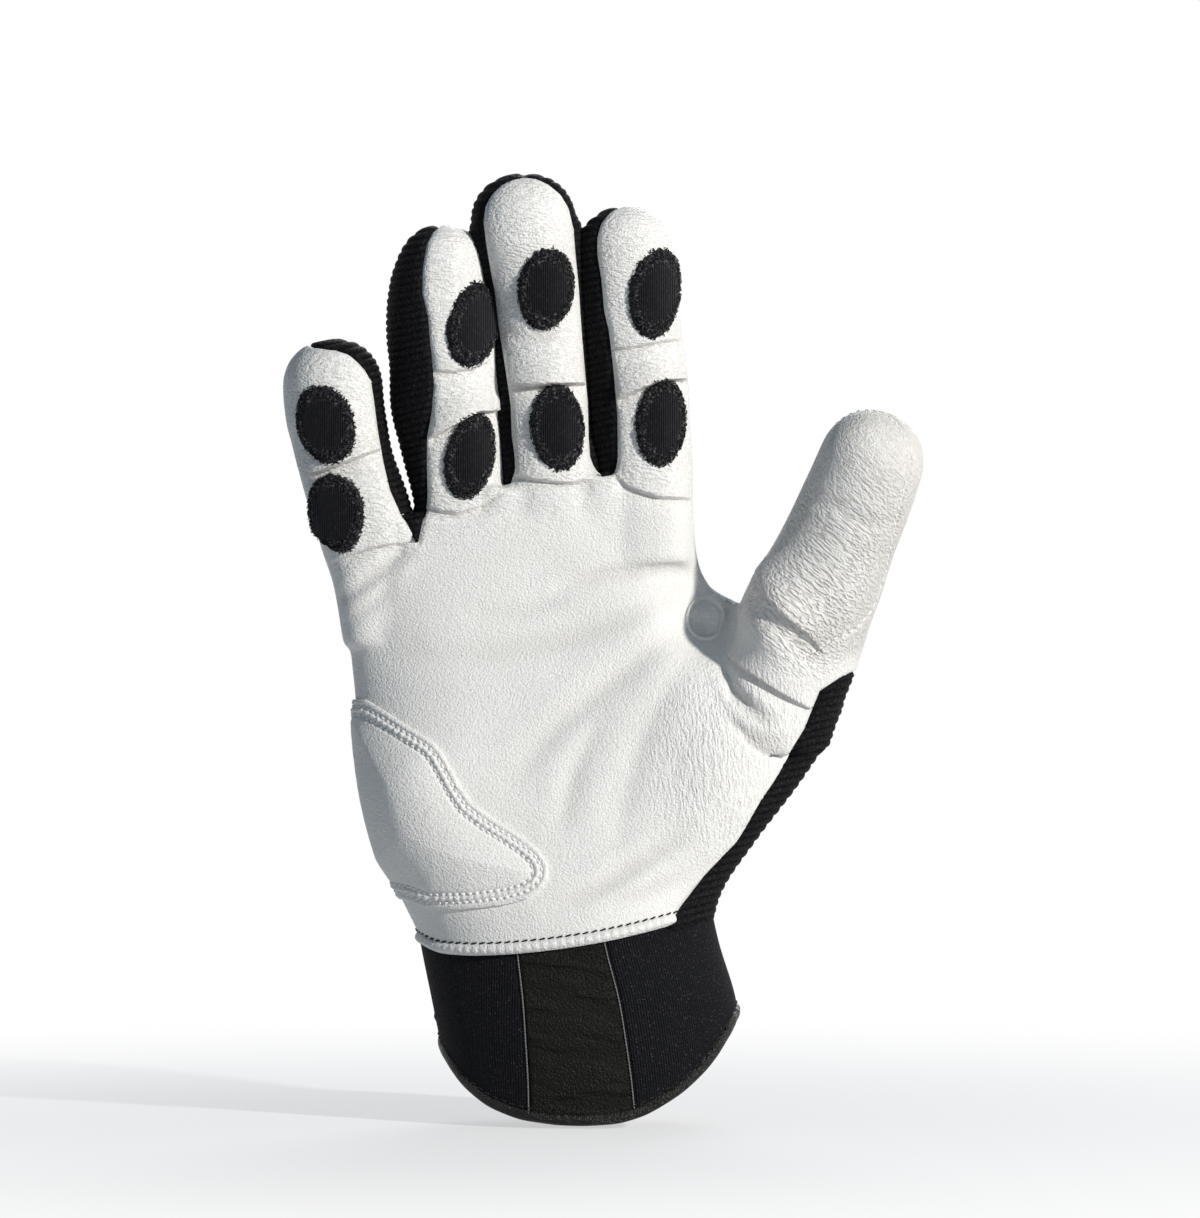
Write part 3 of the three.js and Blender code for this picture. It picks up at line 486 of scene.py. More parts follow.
def leather_edge(skin):
    """Above zero on the leather: about the distance from its seam with the knit."""
    x, y, z = skin[:, 0], skin[:, 1], skin[:, 2]
    line = from_picture(thumb_side_seam)
    on_palm = np.minimum((np.interp(z, line[:, 1], line[:, 0]) - x) * 0.8, 4.0 - y)
    field = on_palm.copy()
    owner = finger_of(skin)
    for number, name in enumerate(fingers):
        mine = (owner == number) & (x < thumb_side)
        past = past_root(skin[mine])
        low = -26 if name == "little" else -14
        reach = finger_line(name, z[mine])[1] * smooth_between(low, -3, past) + 4.0 - y[mine]
        for side, sign in (("left", 1), ("right", -1)):
            if (name, side) in finger_seams:
                line = from_picture(finger_seams[name, side])
                gap = sign * (x[mine] - np.interp(z[mine], line[:, 1], line[:, 0]))
                gap += 6 * np.clip(line[0, 1] - z[mine], 0, 9)
                reach = np.minimum(reach, gap)
        field[mine] = np.where(past > low, np.minimum(reach, 4.0 - y[mine]), field[mine])
    # at the back the palm's edge runs into the thumb's root in an easy curve
    near = (x > 30) & (y > -1) & (z > 90)
    ease = 18 * smooth_between(-1, 4, y[near]) * smooth_between(31, 40, x[near])
    palm, thumb = field[near], past_thumb_root(skin[near]) - 1
    overlap = np.clip(ease - np.abs(palm - thumb), 0, None)
    field[near] = np.maximum(palm, thumb) + overlap**2 / np.maximum(4 * ease, 1e-3)
    return field


def between_fingers(skin, number):
    on_stall = (past_root(skin) > -1) & (skin[:, 0] < thumb_side)
    return np.where(on_stall, skin[:, 3] - parting(number, skin[:, 2]), 9)


def past_panel(skin):
    on_stall = (past_root(skin) > 1) & (skin[:, 0] < thumb_side)
    return np.where(on_stall, skin[:, 2] - np.array(panel_heights)[finger_of(skin)], -9)


for field in (
    lambda s: between_fingers(s, 0),
    lambda s: between_fingers(s, 1),
    lambda s: between_fingers(s, 2),
    lambda s: np.where(s[:, 0] < thumb_side, past_root(s), -9),
    past_thumb_root,
    lambda s: np.where(past_thumb_root(s) > 0, thumb_place(s)[0] - thumb_panel_place, -9),
    past_panel,
    past_thumb_seam,
    lambda s: past_thumb_seam(s) + 0.6,
    lambda s: past_thumb_seam(s) - 0.6,
    leather_edge,
    lambda s: leather_edge(s) - 0.5,
    lambda s: leather_edge(s) + 0.5,
):
    skin, skin_faces = scored(skin, skin_faces, field)


# Folds: soft sheepskin gathers where the hand bends. Each fold is a soft valley with a swell on either
# side, along a line across the palm, a finger root or a finger joint. Seams pull both layers down into a
# valley of their own.
def skin_normals(points, faces):
    flat = np.cross(points[faces[:, 1]] - points[faces[:, 0]], points[faces[:, 2]] - points[faces[:, 0]])
    normal = np.zeros((len(points), 3))
    for k in range(3):
        for axis in range(3):
            normal[:, axis] += np.bincount(faces[:, k], flat[:, axis], len(points))
    return normal / np.linalg.norm(normal, axis=1)[:, None].clip(1e-9)


def off_line(places, line):
    """Distance of each place from a line, and how far along the line its nearest point is, from 0 to 1."""
    best, share = np.full(len(places), 1e9), np.zeros(len(places))
    lengths = np.linalg.norm(np.diff(line, axis=0), axis=1)
    before = np.concatenate([[0], np.cumsum(lengths)]) / lengths.sum()
    for i, (start, step) in enumerate(zip(line[:-1], np.diff(line, axis=0))):
        t = np.clip(((places - start) @ step) / (step @ step), 0, 1)
        gap = np.linalg.norm(places - start - t[:, None] * step, axis=1)
        closer = gap < best
        best = np.where(closer, gap, best)
        share = np.where(closer, before[i] + t * (before[i + 1] - before[i]), share)
    return best, share


# soft folds: points of the picture, depth, half width
folds = [
    ([(338, 600), (359, 588), (386, 567), (405, 549)], 1.1, 1.7),
    ([(345, 622), (372, 604), (392, 582)], 0.5, 1.5),
    ([(699, 571), (672, 569), (645, 570), (600, 574), (560, 584)], 0.9, 1.5),
    ([(690, 588), (640, 612), (560, 640), (490, 652), (430, 656), (380, 652)], 0.55, 2.8),
    ([(690, 622), (640, 660), (585, 705), (540, 745), (515, 780)], 0.6, 3.0),
    ([(700, 640), (668, 690), (640, 745), (622, 810), (617, 860)], 0.35, 2.6),
    ([(724, 668), (736, 690), (750, 706), (768, 722)], 1.4, 1.5),
    ([(736, 725), (758, 737), (782, 741)], 0.9, 1.8),
    ([(800, 500), (830, 508), (868, 528), (905, 520)], 0.35, 1.6),
    ([(752, 592), (770, 614), (790, 636), (806, 654)], 1.2, 2.2),
    ([(499, 329), (520, 338), (545, 336), (562, 329)], 0.6, 1.4),
    ([(300, 485), (318, 480), (345, 475), (384, 470)], 0.5, 1.4),
    ([(560, 600), (520, 612), (470, 616)], 0.4, 1.8),
    ([(600, 720), (575, 770), (560, 830)], 0.5, 2.4),
    ([(684, 835), (640, 862), (596, 890), (550, 906)], 0.9, 2.2),
    ([(672, 878), (640, 893), (605, 903)], 0.6, 1.8),
]
# sharp folds, where the leather above hangs over the leather below: points of the picture, depth
overhangs = [
    ([(424, 505), (440, 511), (457, 514), (477, 508), (499, 492)], 0.8),
    ([(511, 474), (530, 479), (550, 482), (572, 483), (594, 480)], 0.8),
    ([(613, 474), (626, 485), (640, 492), (660, 498), (693, 499)], 0.8),
    ([(330, 563), (359, 552), (380, 546), (405, 543)], 0.7),
    ([(610, 402), (631, 394), (647, 387), (662, 381), (690, 379)], 1.7),
    ([(503, 383), (530, 386), (550, 385), (586, 384)], 1.7),
    ([(424, 441), (440, 434), (452, 427), (476, 413), (500, 410)], 1.8),
    ([(294, 465), (317, 473), (344, 463), (384, 448)], 1.6),
    ([(727, 655), (757, 675), (785, 694), (812, 710)], 0.85),
    ([(756, 570), (770, 594), (788, 616), (806, 634), (822, 654)], 0.6),
    ([(608, 347), (625, 349), (650, 344), (680, 339)], 0.8),
    ([(430, 371), (452, 372), (470, 370), (488, 361)], 0.8),
]


def above_fold(skin, line):
    """Distance above a fold's line on the palm side of the glove, and the share of the line's length."""
    rows = line[np.argsort(line[:, 0])]
    level = np.interp(skin[:, 0], rows[:, 0], rows[:, 1])
    slope = np.gradient(rows[:, 1], rows[:, 0])
    lean = np.interp(skin[:, 0], rows[:, 0], slope)
    share = (skin[:, 0] - rows[0, 0]) / (rows[-1, 0] - rows[0, 0])
    return (skin[:, 2] - level) / np.hypot(1, lean), share


def beside_fold(skin, points, side):
    """Zero along a line at a distance above or below a fold."""
    rise, share = above_fold(skin, from_picture(points))
    near = (share > 0) & (share < 1) & (np.abs(rise) < 4) & (skin[:, 1] < -3)
    return np.where(near, rise - side, 9)


def face_sides(faces):
    return np.vstack([faces[:, [0, 1]], faces[:, [1, 2]], faces[:, [2, 0]]])


# the leather turns over within this distance of a sharp fold's line
lip_half = 0.35
for points, _ in overhangs:
    for side in (-lip_half, lip_half):
        skin, skin_faces = scored(skin, skin_faces, lambda s: beside_fold(s, points, side))
# the pattern pieces, as marked on the flat skin
face_middle = skin[skin_faces].mean(1)
face_finger = finger_of(face_middle)
on_thumb = past_thumb_root(face_middle) > 0
face_leather = on_thumb | (leather_edge(face_middle) > 0)
on_finger = (past_root(face_middle) > 0) & (face_middle[:, 0] < thumb_side)
# stray faces follow their neighbours
sides = np.sort(face_sides(skin_faces), 1)
_, which, count = np.unique(sides, axis=0, return_inverse=True, return_counts=True)
which = which.ravel()
both = count[which] == 2
pairs = np.where(both)[0][np.argsort(which[both], kind="stable")].reshape(-1, 2) % len(skin_faces)
for _ in range(4):
    unlike = face_leather[pairs[:, 0]] != face_leather[pairs[:, 1]]
    votes = np.bincount(pairs[unlike].ravel(), minlength=len(skin_faces))
    face_leather = face_leather ^ ((votes >= 2) & ~on_thumb)
behind_thumb_seam = past_thumb_seam(face_middle) > 0
face_thumb_place = thumb_place(face_middle)[0]
normal = skin_normals(skin[:, :3], skin_faces)
edge, past_thumb = leather_edge(skin), past_thumb_root(skin)
edge = np.where(past_thumb > -1, np.maximum(edge, past_thumb * 8), edge)
facing = smooth_between(0.05, 0.5, -normal[:, 1]) * smooth_between(0, 1.5, edge)
move = np.zeros(len(skin))
# crease: painted shade, a darkening of the leather's colour in each fold's valley, under each sharp fold and
# just above it
crease = np.zeros(len(skin))
for points, depth, width in folds:
    line = from_picture(points)
    near = np.where((np.abs(skin[:, [0, 2]] - line.mean(0)) < np.ptp(line, axis=0) / 2 + 5 * width).all(1))[0]
    gap, share = off_line(skin[near][:, [0, 2]], line)
    fade = np.sin(np.pi * np.clip(share * 0.94 + 0.03, 0, 1)) ** 0.6 * facing[near]
    valley = np.exp(-((gap / width) ** 2))
    move[near] += depth * fade * (0.3 * np.exp(-(((gap - 2.4 * width) / (1.1 * width)) ** 2)) - valley)
    # painted shade in the fold's valley
    crease[near] = np.maximum(crease[near], valley * fade * min(1, depth))
for points, depth in overhangs:
    rise, share = above_fold(skin, from_picture(points))
    near = np.where((share > 0) & (share < 1) & (np.abs(rise) < 12))[0]
    rise, fade = rise[near], np.sin(np.pi * np.clip(share[near], 0, 1)) ** 0.4 * facing[near]
    over = 1.1 * np.exp(-((np.clip(rise - lip_half, 0, 12) / 5.4) ** 2))
    under = -np.exp(-((np.clip(-rise - lip_half, 0, 9) / 1.9) ** 1.3))
    lip = np.clip(rise / (2 * lip_half) + 0.5, 0, 1)
    shape = np.where(rise > lip_half, over, np.where(rise < -lip_half, under, -1 + 2.1 * lip))
    move[near] += depth * fade * shape
    # painted shade under the sharp fold and on the leather just above it
    crease[near] = np.maximum(crease[near], fade * np.exp(-(((rise + 0.6) / 0.8) ** 2)))
    crease[near] = np.maximum(crease[near], 0.35 * depth * fade * (rise > 0) * np.exp(-((rise / 4.5) ** 2)))
# painted shade: the thumb's leather is made a shade greyer, most of all towards its outer seam, on the side
# that faces the key lamp
outer_side = smooth_between(-16, -3, past_thumb_seam(skin))
crease = np.maximum(crease, smooth_between(-3, 8, past_thumb) * (0.7 + 0.75 * outer_side))
# the ball of the thumb and the heel swell forward, the hand is hollow, the web between thumb and palm lies
# back and the thumb's base stands forward of it: place, reach and height
for (x, z), (wide, tall), swell in (
    ((36, 90), (17, 24), 5.0), ((-42, 84), (17, 26), 3.5), ((-10, 126), (30, 15), -2.6),
    ((29.5, 127), (8.5, 9.5), -6.0), ((47, 129), (8, 12), 4.0),
):
    move += swell * facing * np.exp(-(((skin[:, 0] - x) / wide) ** 2) - ((skin[:, 2] - z) / tall) ** 2)
# the stalls are full
move += 0.35 * np.abs(normal[:, 0]) * smooth_between(4, 14, past_root(skin)) * (skin[:, 0] < thumb_side)
# the thumb's outer seam is a groove
move -= 0.6 * (1 - np.clip(np.abs(past_thumb_seam(skin)) / 1.3, 0, 1)) ** 2
# both layers dive into their seam
move -= 0.75 * (1 - np.clip(np.abs(edge) / 1.7, 0, 1)) ** 2 * np.where(np.abs(edge) < 25, 1, 0)
skin[:, :3] += normal * move[:, None]
normal = skin_normals(skin[:, :3], skin_faces)
# where the leather wrinkles across the fingers, upright on the ball of the thumb, and slanting on the thumb
x, z = skin[:, 0], skin[:, 2]
across = 0.12 + 0.88 * smooth_between(-6, 12, past_root(skin)) * (x < thumb_side)
upright = 0.6 * smooth_between(1.35, 0.5, np.hypot((x - 40) / 26, (z - 92) / 30))
slanting = smooth_between(1.3, 0.35, np.hypot((x - 55) / 15, (z - 128) / 17))
on_stall = smooth_between(-2, 6, past_thumb_root(skin)) * (1 - 0.6 * smooth_between(148, 172, z))
slanting = np.maximum(slanting, 0.6 * on_stall)
across *= (1 - 0.8 * upright) * (1 - slanting)
# the crease's painted shade and the wrinkle masks go to each leather piece
shade_and_wrinkle_masks = {"crease": crease, "across": across, "upright": upright, "slanting": slanting}
form_tree = BVHTree.FromPolygons([Vector(p) for p in skin[:, :3]], skin_faces.tolist())


def turned_edge(faces, count):
    """The points of a piece's rim, and the faces of a lip from them to as many new points behind them."""
    sides = face_sides(faces)
    _, first, uses = np.unique(np.sort(sides, 1), axis=0, return_index=True, return_counts=True)
    start, end = sides[first[uses == 1]].T
    rim = np.unique([start, end])
    inner = np.zeros(count, int)
    inner[rim] = count + np.arange(len(rim))
    lip = [np.stack([end, start, inner[start]], 1), np.stack([end, inner[start], inner[end]], 1)]
    return rim, np.vstack(lip)


def carry(piece, label, values):
    """Gives the points of a piece a value each, for its material."""
    layer = piece.data.attributes.new(label, "FLOAT", "POINT")
    layer.data.foreach_set("value", np.asarray(values, np.float32))


def panel(name, chosen, turned_in=1.0):
    """One pattern piece: the chosen faces of the skin, with its edges turned in to show how thick it is."""
    used, faces = np.unique(skin_faces[chosen], return_inverse=True)
    faces = faces.reshape(-1, 3)
    rim, lip = turned_edge(faces, len(used))
    inner = skin[used[rim], :3] - normal[used[rim]] * turned_in
    piece = mesh_object(name, np.vstack([skin[used, :3], inner]), np.vstack([faces, lip]))
    piece.data.shade_smooth()
    source = np.concatenate([used, used[rim]])
    piece.data.normals_split_custom_set_from_vertices(normal[source].tolist())
    for label, values in shade_and_wrinkle_masks.items():
        carry(piece, label, values[source])
    return piece


# Palm leather: one piece of soft white sheepskin from the hem to the finger roots. It is sewn to the knit
# round the little-finger edge and along a seam below the thumb.
def above_hem(places):
    return places[:, 2] - np.interp(places[:, 0], *hem_line.T)


def node_group(name, inputs, outputs):
    """A group of nodes that more than one material uses, with what goes into it and what comes out."""
    group = bpy.data.node_groups.new(name, "ShaderNodeTree")
    for way, labels in (("INPUT", inputs), ("OUTPUT", outputs)):
        for label in labels:
            kind = "NodeSocketVector" if label == "Place" else "NodeSocketFloat"
            group.interface.new_socket(label, in_out=way, socket_type=kind)
    return group, group.nodes.new("NodeGroupInput").outputs, group.nodes.new("NodeGroupOutput").inputs


def noise(tree, place, scale, detail, **more):
    return add_node(tree, "TexNoise", Vector=place, Scale=scale, Detail=detail, **more).outputs["Fac"]


def mask(tree, name):
    """A value that the mesh carries from point to point."""
    return add_node(tree, "Attribute", attribute_name=name).outputs["Fac"]


def mixed(tree, share, low, high):
    """A colour between two others, which are written out or come from a socket."""
    low, high = (c if isinstance(c, bpy.types.NodeSocket) else (*c, 1) for c in (low, high))
    return add_node(tree, "Mix", data_type="RGBA", _0=share, _6=low, _7=high).outputs[2]


def bumped(tree, height, strength, distance):
    return add_node(tree, "Bump", Strength=strength, Distance=distance, Height=height).outputs[0]


def coat(tree, **results):
    """Links results to the material's shader."""
    for name, result in results.items():
        tree.links.new(result, tree.nodes["Principled BSDF"].inputs[name.replace("_", " ")])


def sewn(piece, material, slot, holder, *nodes):
    """Finishes a piece: its material, the body that it moves with or, for a bend, its transform baked in
    place, and the nodes it stands for, which are hidden.
    """
    piece.data.materials.append(material)
    if isinstance(holder, str):
        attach(piece, holder)
    else:
        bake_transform(piece)
    if nodes:
        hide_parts(*nodes)


# fine pebbles, and a slow change of tone
grain, grain_in, grain_out = node_group("sheepskin_grain", ["Place"], ["Height", "Mottle"])
warp = add_node(grain, "TexNoise", Vector=grain_in["Place"], Scale=420, Detail=2)
warped = add_node(grain, "VectorMath", operation="MULTIPLY_ADD", _0=warp.outputs["Color"],
                  _1=(0.0007, 0.0007, 0.0007), _2=grain_in["Place"])
pebbles = add_node(grain, "TexVoronoi", feature="SMOOTH_F1", Vector=warped.outputs[0], Scale=1900,
                   Smoothness=0.6)
pebble_height = reckon(grain, "MULTIPLY_ADD", pebbles.outputs["Distance"], -0.8, 0.8)
fine = noise(grain, grain_in["Place"], 3600, 2)
grain.links.new(reckon(grain, "MULTIPLY_ADD", fine, 0.35, pebble_height), grain_out["Height"])
grain.links.new(noise(grain, grain_in["Place"], 60, 3), grain_out["Mottle"])

# wrinkles drawn out along one direction of the place given
wrinkles, wrinkles_in, wrinkles_out = node_group("drawn_wrinkles", ["Place", "Turn", "Pitch"], ["Height"])
turned = add_node(wrinkles, "VectorRotate", rotation_type="Y_AXIS", Vector=wrinkles_in["Place"],
                  Angle=wrinkles_in["Turn"])
drawn = add_node(wrinkles, "VectorMath", operation="MULTIPLY", _0=turned.outputs[0], _1=(1.0, 1.0, 0.24))
ridges = noise(wrinkles, drawn.outputs[0], wrinkles_in["Pitch"], 1, Roughness=0.4, Distortion=0.25)
ridge_height = ranged(wrinkles, ridges, interpolation_type="SMOOTHSTEP", From_Min=0.34, From_Max=0.62)
wrinkles.links.new(ridge_height, wrinkles_out["Height"])

white_leather, leather_tree, leather_place = finish("white_sheepskin", 0.35, 0.5)
leather_grain = add_node(leather_tree, "Group", node_tree=grain, Place=leather_place["Object"]).outputs
leather_height, painted_hollow_shade = leather_grain["Height"], 0.0
# wrinkles across the fingers, upright on the ball of the thumb, slanting on the thumb; the hollows between
# their ridges are darkened as painted shade
for way, turn, pitch, weight, shade in (
    ("across", 86, 1800, 0.7, 0.22), ("upright", 6, 1400, 0.9, 0.25), ("slanting", 52, 1500, 1.5, 0.6),
):
    lines = add_node(leather_tree, "Group", node_tree=wrinkles, Place=leather_place["Object"],
                     Turn=math.radians(turn), Pitch=pitch)
    where = mask(leather_tree, way)
    part = reckon(leather_tree, "MULTIPLY", lines.outputs[0], where)
    leather_height = reckon(leather_tree, "MULTIPLY_ADD", part, weight, leather_height)
    between = reckon(leather_tree, "SUBTRACT", where, part)
    painted_hollow_shade = reckon(leather_tree, "MULTIPLY_ADD", between, shade, painted_hollow_shade)
leather_tone = ranged(leather_tree, leather_grain["Mottle"], From_Min=0.3, From_Max=0.7)
leather_plain = mixed(leather_tree, leather_tone, (0.755, 0.745, 0.715), (0.815, 0.805, 0.78))
# painted shade: the grain's low places, the wrinkles' hollows and the creases darken the leather's colour
painted_grain_shade = ranged(leather_tree, leather_height, From_Min=0.3, From_Max=0.95, To_Min=0.28, To_Max=0.0)
leather_dips = reckon(leather_tree, "ADD", painted_grain_shade, painted_hollow_shade)
leather_crease = mask(leather_tree, "crease")
leather_painted_shade = reckon(leather_tree, "MULTIPLY_ADD", leather_crease, 0.5, leather_dips, clamp=True)
coat(
    leather_tree,
    Base_Color=mixed(leather_tree, leather_painted_shade, leather_plain, (0.56, 0.54, 0.51)),
    Roughness=ranged(leather_tree, leather_height, From_Min=0.2, From_Max=1.6, To_Min=0.62, To_Max=0.48),
    Normal=bumped(leather_tree, leather_height, 1.0, 0.00022),
)

on_palm = ~on_finger & ~on_thumb
palm_leather = panel("palm_panel", face_leather & on_palm & (above_hem(face_middle) > 0))
sewn(palm_leather, white_leather, "white_leather", "hand", "palm_leather")


# Back of the hand: black rib knit from the cuff to the finger roots, with ribs running across it. It wraps
# round to the palm below the thumb, where its ribs stand out along the edge.
def halved(faces, count):
    """Each face cut into four at the middles of its sides: the new faces, and the ends of each side."""
    ends, which = np.unique(np.sort(face_sides(faces), 1), axis=0, return_inverse=True)
    ab, bc, ca = (count + which.ravel()).reshape(3, -1)
    a, b, c = faces.T
    return np.vstack([np.stack(t, 1) for t in ((a, ab, ca), (ab, b, bc), (ca, bc, c), (ab, bc, ca))]), ends


def ribbed(name, chosen, pitch=1.8, rise=0.45, turned_in=1.2):
    """A knit panel, worked finer than the skin so that its ribs can stand up."""
    used, faces = np.unique(skin_faces[chosen], return_inverse=True)
    points, spread = skin[used, :3], np.abs(edge[used])
    faces, ends = halved(faces.reshape(-1, 3), len(points))
    points = np.vstack([points, points[ends].mean(1)])
    spread = np.concatenate([spread, spread[ends].mean(1)])
    lean = points[:, 2] - 0.22 * points[:, 0]
    wave = np.abs(np.sin(np.pi * lean / pitch)) ** 0.7
    lift = rise * (wave - 0.6) * smooth_between(0.2, 2.0, spread)
    points = points + skin_normals(points, faces) * lift[:, None]
    rim, lip = turned_edge(faces, len(points))
    inner = points[rim] - skin_normals(points, faces)[rim] * turned_in
    piece = mesh_object(name, np.vstack([points, inner]), np.vstack([faces, lip]))
    piece.data.shade_smooth()
    carry(piece, "rib", np.concatenate([wave, wave[rim]]))
    return piece


# loops of yarn: a height, and a mask of specks that the knit and the plush use for painted glints
loops, loops_in, loops_out = node_group("yarn_loops", ["Place", "Scale"], ["Height", "Specks"])
loop_cells = add_node(loops, "TexVoronoi", feature="SMOOTH_F1", Vector=loops_in["Place"],
                      Scale=loops_in["Scale"], Smoothness=0.3)
loops.links.new(reckon(loops, "SUBTRACT", 1.0, loop_cells.outputs["Distance"]), loops_out["Height"])
loop_specks = ranged(loops, noise(loops, loops_in["Place"], 1500, 2), From_Min=0.52, From_Max=0.72)
loops.links.new(loop_specks, loops_out["Specks"])

black_knit, knit_tree, knit_place = finish("black_rib_knit", 0.03, 0.62)
knit_loops = add_node(knit_tree, "Group", node_tree=loops, Place=knit_place["Object"], Scale=1150).outputs
knit_rib = mask(knit_tree, "rib")
# painted light: the rib crests are drawn lighter than their valleys, and carry grey specks as painted glints
knit_dark = mixed(knit_tree, knit_rib, (0.0008, 0.0008, 0.001), (0.0085, 0.0085, 0.0095))
knit_crest_glints = reckon(knit_tree, "MULTIPLY", knit_loops["Specks"], knit_rib)
coat(
    knit_tree,
    Base_Color=mixed(knit_tree, knit_crest_glints, knit_dark, (0.026, 0.025, 0.027)),
    Normal=bumped(knit_tree, knit_loops["Height"], 0.8, 0.0004),
)
knit_foot = np.where(face_middle[:, 1] < 2, above_hem(face_middle) + 2, face_middle[:, 2] - 47)
back_knit = ribbed("hand_back", ~face_leather & on_palm & (knit_foot > 0))
sewn(back_knit, black_knit, "black_knit", "hand", "back_knit")


# Finger stalls: a leather front, and a knit back whose side walls show between the fingers. Each is worked
# in two panels that meet under the lower grip, the lower one over the finger's root and the upper over its
# knuckle.
joint_at = {j["name"]: np.array(j["pos_m"]) * 1000 for j in frame["joints"]}
crease_at = {"lower": "root", "upper": "knuckle"}
# half the length of a stall that bends at its knuckle
knuckle_reach = np.array((0, 0, 5))
finger_bend = {}
for number, name in enumerate(fingers):
    mine = on_finger & (face_finger == number)
    upper = face_middle[:, 2] > panel_heights[number]
    root, knuckle = joint_at[name + "_root_fold"], joint_at[name + "_knuckle_fold"]
    slope = (np.interp(root[0] + 5, *root_line.T) - np.interp(root[0] - 5, *root_line.T)) / 10
    away = np.array([-slope, 0, 1]) / math.hypot(slope, 1)
    start = np.array([root[0], root[1], np.interp(root[0], *root_line.T)])
    end = start + away * 2 * ((root - start) @ away)
    finger_bend[name, "lower"] = ("hand", name + "_lower", start * 0.001, end * 0.001)
    finger_bend[name, "upper"] = (name + "_lower", name + "_upper", (knuckle - knuckle_reach) * 0.001,
                                  (knuckle + knuckle_reach) * 0.001)
    for part, chosen in (("lower", mine & ~upper), ("upper", mine & upper)):
        front = panel(f"{name}_front_{part}", chosen & face_leather)
        sewn(front, white_leather, "white_leather", finger_bend[name, part], f"{name}_palm_leather_{part}",
             f"{name}_{crease_at[part]}_crease")
        rear = ribbed(f"{name}_back_{part}", chosen & ~face_leather)
        sewn(rear, black_knit, "black_knit", finger_bend[name, part], f"{name}_back_knit_{part}")


# Grips: eight ovals of black plush, two on each finger, overcast round the rim. They stand about 1.5 mm
# proud of the leather.
def on_front(x, z):
    """The point of the skin straight behind a place of the picture, and the way it faces."""
    place, facing, _, _ = form_tree.ray_cast(Vector((x, -90, z)), Vector((0, 1, 0)))
    if place is None or place.y > 3:
        place, facing, _, _ = form_tree.find_nearest(Vector((x, -6, z)))
    return np.array(place), np.array(facing)


# picture place, width and height in pixels, lean of the top towards the thumb in degrees, narrower lower end
grips = {
    ("index", "upper"): ((653, 294), 49, 92, 6, 0.06),
    ("index", "lower"): ((660, 423), 49, 87, 4, 0.0),
    ("middle", "upper"): ((545.3, 289.5), 55.5, 82, 6, 0.05),
    ("middle", "lower"): ((556.7, 428), 52.5, 87.5, -6, 0.0),
    ("ring", "upper"): ((471.3, 324.4), 47, 88, 11, 0.0),
    ("ring", "lower"): ((469, 456.6), 48, 87, 11, 0.0),
    ("little", "upper"): ((326.5, 425), 57, 81, -18, 0.05),
    ("little", "lower"): ((338, 514), 54, 80, -15, 0.22),
}
grip_plush, plush_tree, plush_place = finish("black_plush", 0.04, 0.85)
plush_tree.nodes["Principled BSDF"].inputs["Sheen Weight"].default_value = 0.12
plush_loops = add_node(plush_tree, "Group", node_tree=loops, Place=plush_place["Object"], Scale=1500).outputs
plush_across = add_node(plush_tree, "SeparateXYZ", Vector=plush_place["Object"]).outputs["X"]
plush_wale = reckon(plush_tree, "SINE", reckon(plush_tree, "MULTIPLY", plush_across, 11200.0))
plush_flat = ranged(plush_tree, plush_wale, From_Min=-1.0, To_Min=0.0, To_Max=0.6)
plush_rim = mask(plush_tree, "rim")
plush_high = add_node(plush_tree, "Mix", data_type="FLOAT", _0=plush_rim, _2=plush_flat,
                      _3=plush_loops["Height"])
plush_lit = ranged(plush_tree, plush_rim, To_Min=0.12, To_Max=1.0)
plush_rim_glints = reckon(plush_tree, "MULTIPLY", plush_loops["Specks"], plush_lit)
# painted light: the wale ridges are drawn lighter than their furrows, and the loops, most of all round the
# rim, carry grey specks as painted glints
plush_dark = mixed(plush_tree, plush_flat, (0.0055, 0.0055, 0.0068), (0.0115, 0.0115, 0.0135))
coat(
    plush_tree,
    Base_Color=mixed(plush_tree, plush_rim_glints, plush_dark, (0.11, 0.108, 0.11)),
    Normal=bumped(plush_tree, plush_high.outputs[0], 0.9, 0.0005),
)


def on_grip(stall, grip, share, turn):
    """The skin under a place of a grip, a share of the way out from its middle, and the way it faces."""
    pixel, width, height, lean, narrow = grip
    (x, z), = from_picture([pixel])
    reach, tall, tilt = width * pixel_size / 2, height * pixel_size / 2, math.radians(lean)
    up = share * tall * math.cos(turn)
    out = share * reach * math.sin(turn) * (1 + narrow * share * math.cos(turn))
    sideways = out * math.cos(tilt) + up * math.sin(tilt)
    z += up * math.cos(tilt) - out * math.sin(tilt)
    # the oval keeps its shape as it wraps round the stall
    middle, half = np.interp(z, stall[0], stall[1]), 1.12 * np.interp(z, stall[0], stall[2])
    low, high = np.arcsin(np.clip([(x - reach - middle) / half, (x + reach - middle) / half], -0.97, 0.97))
    wrap = np.clip((low + high) / 2 + (high - low) / 2 * sideways / reach, -1.45, 1.45)
    return on_front(middle + half * math.sin(wrap), z)


def grip_rise(share):
    return 1.55 * (1 - max(0, (share - 0.8) / 0.2) ** 2.4) + 0.25 * (1 - share**2) - 0.3


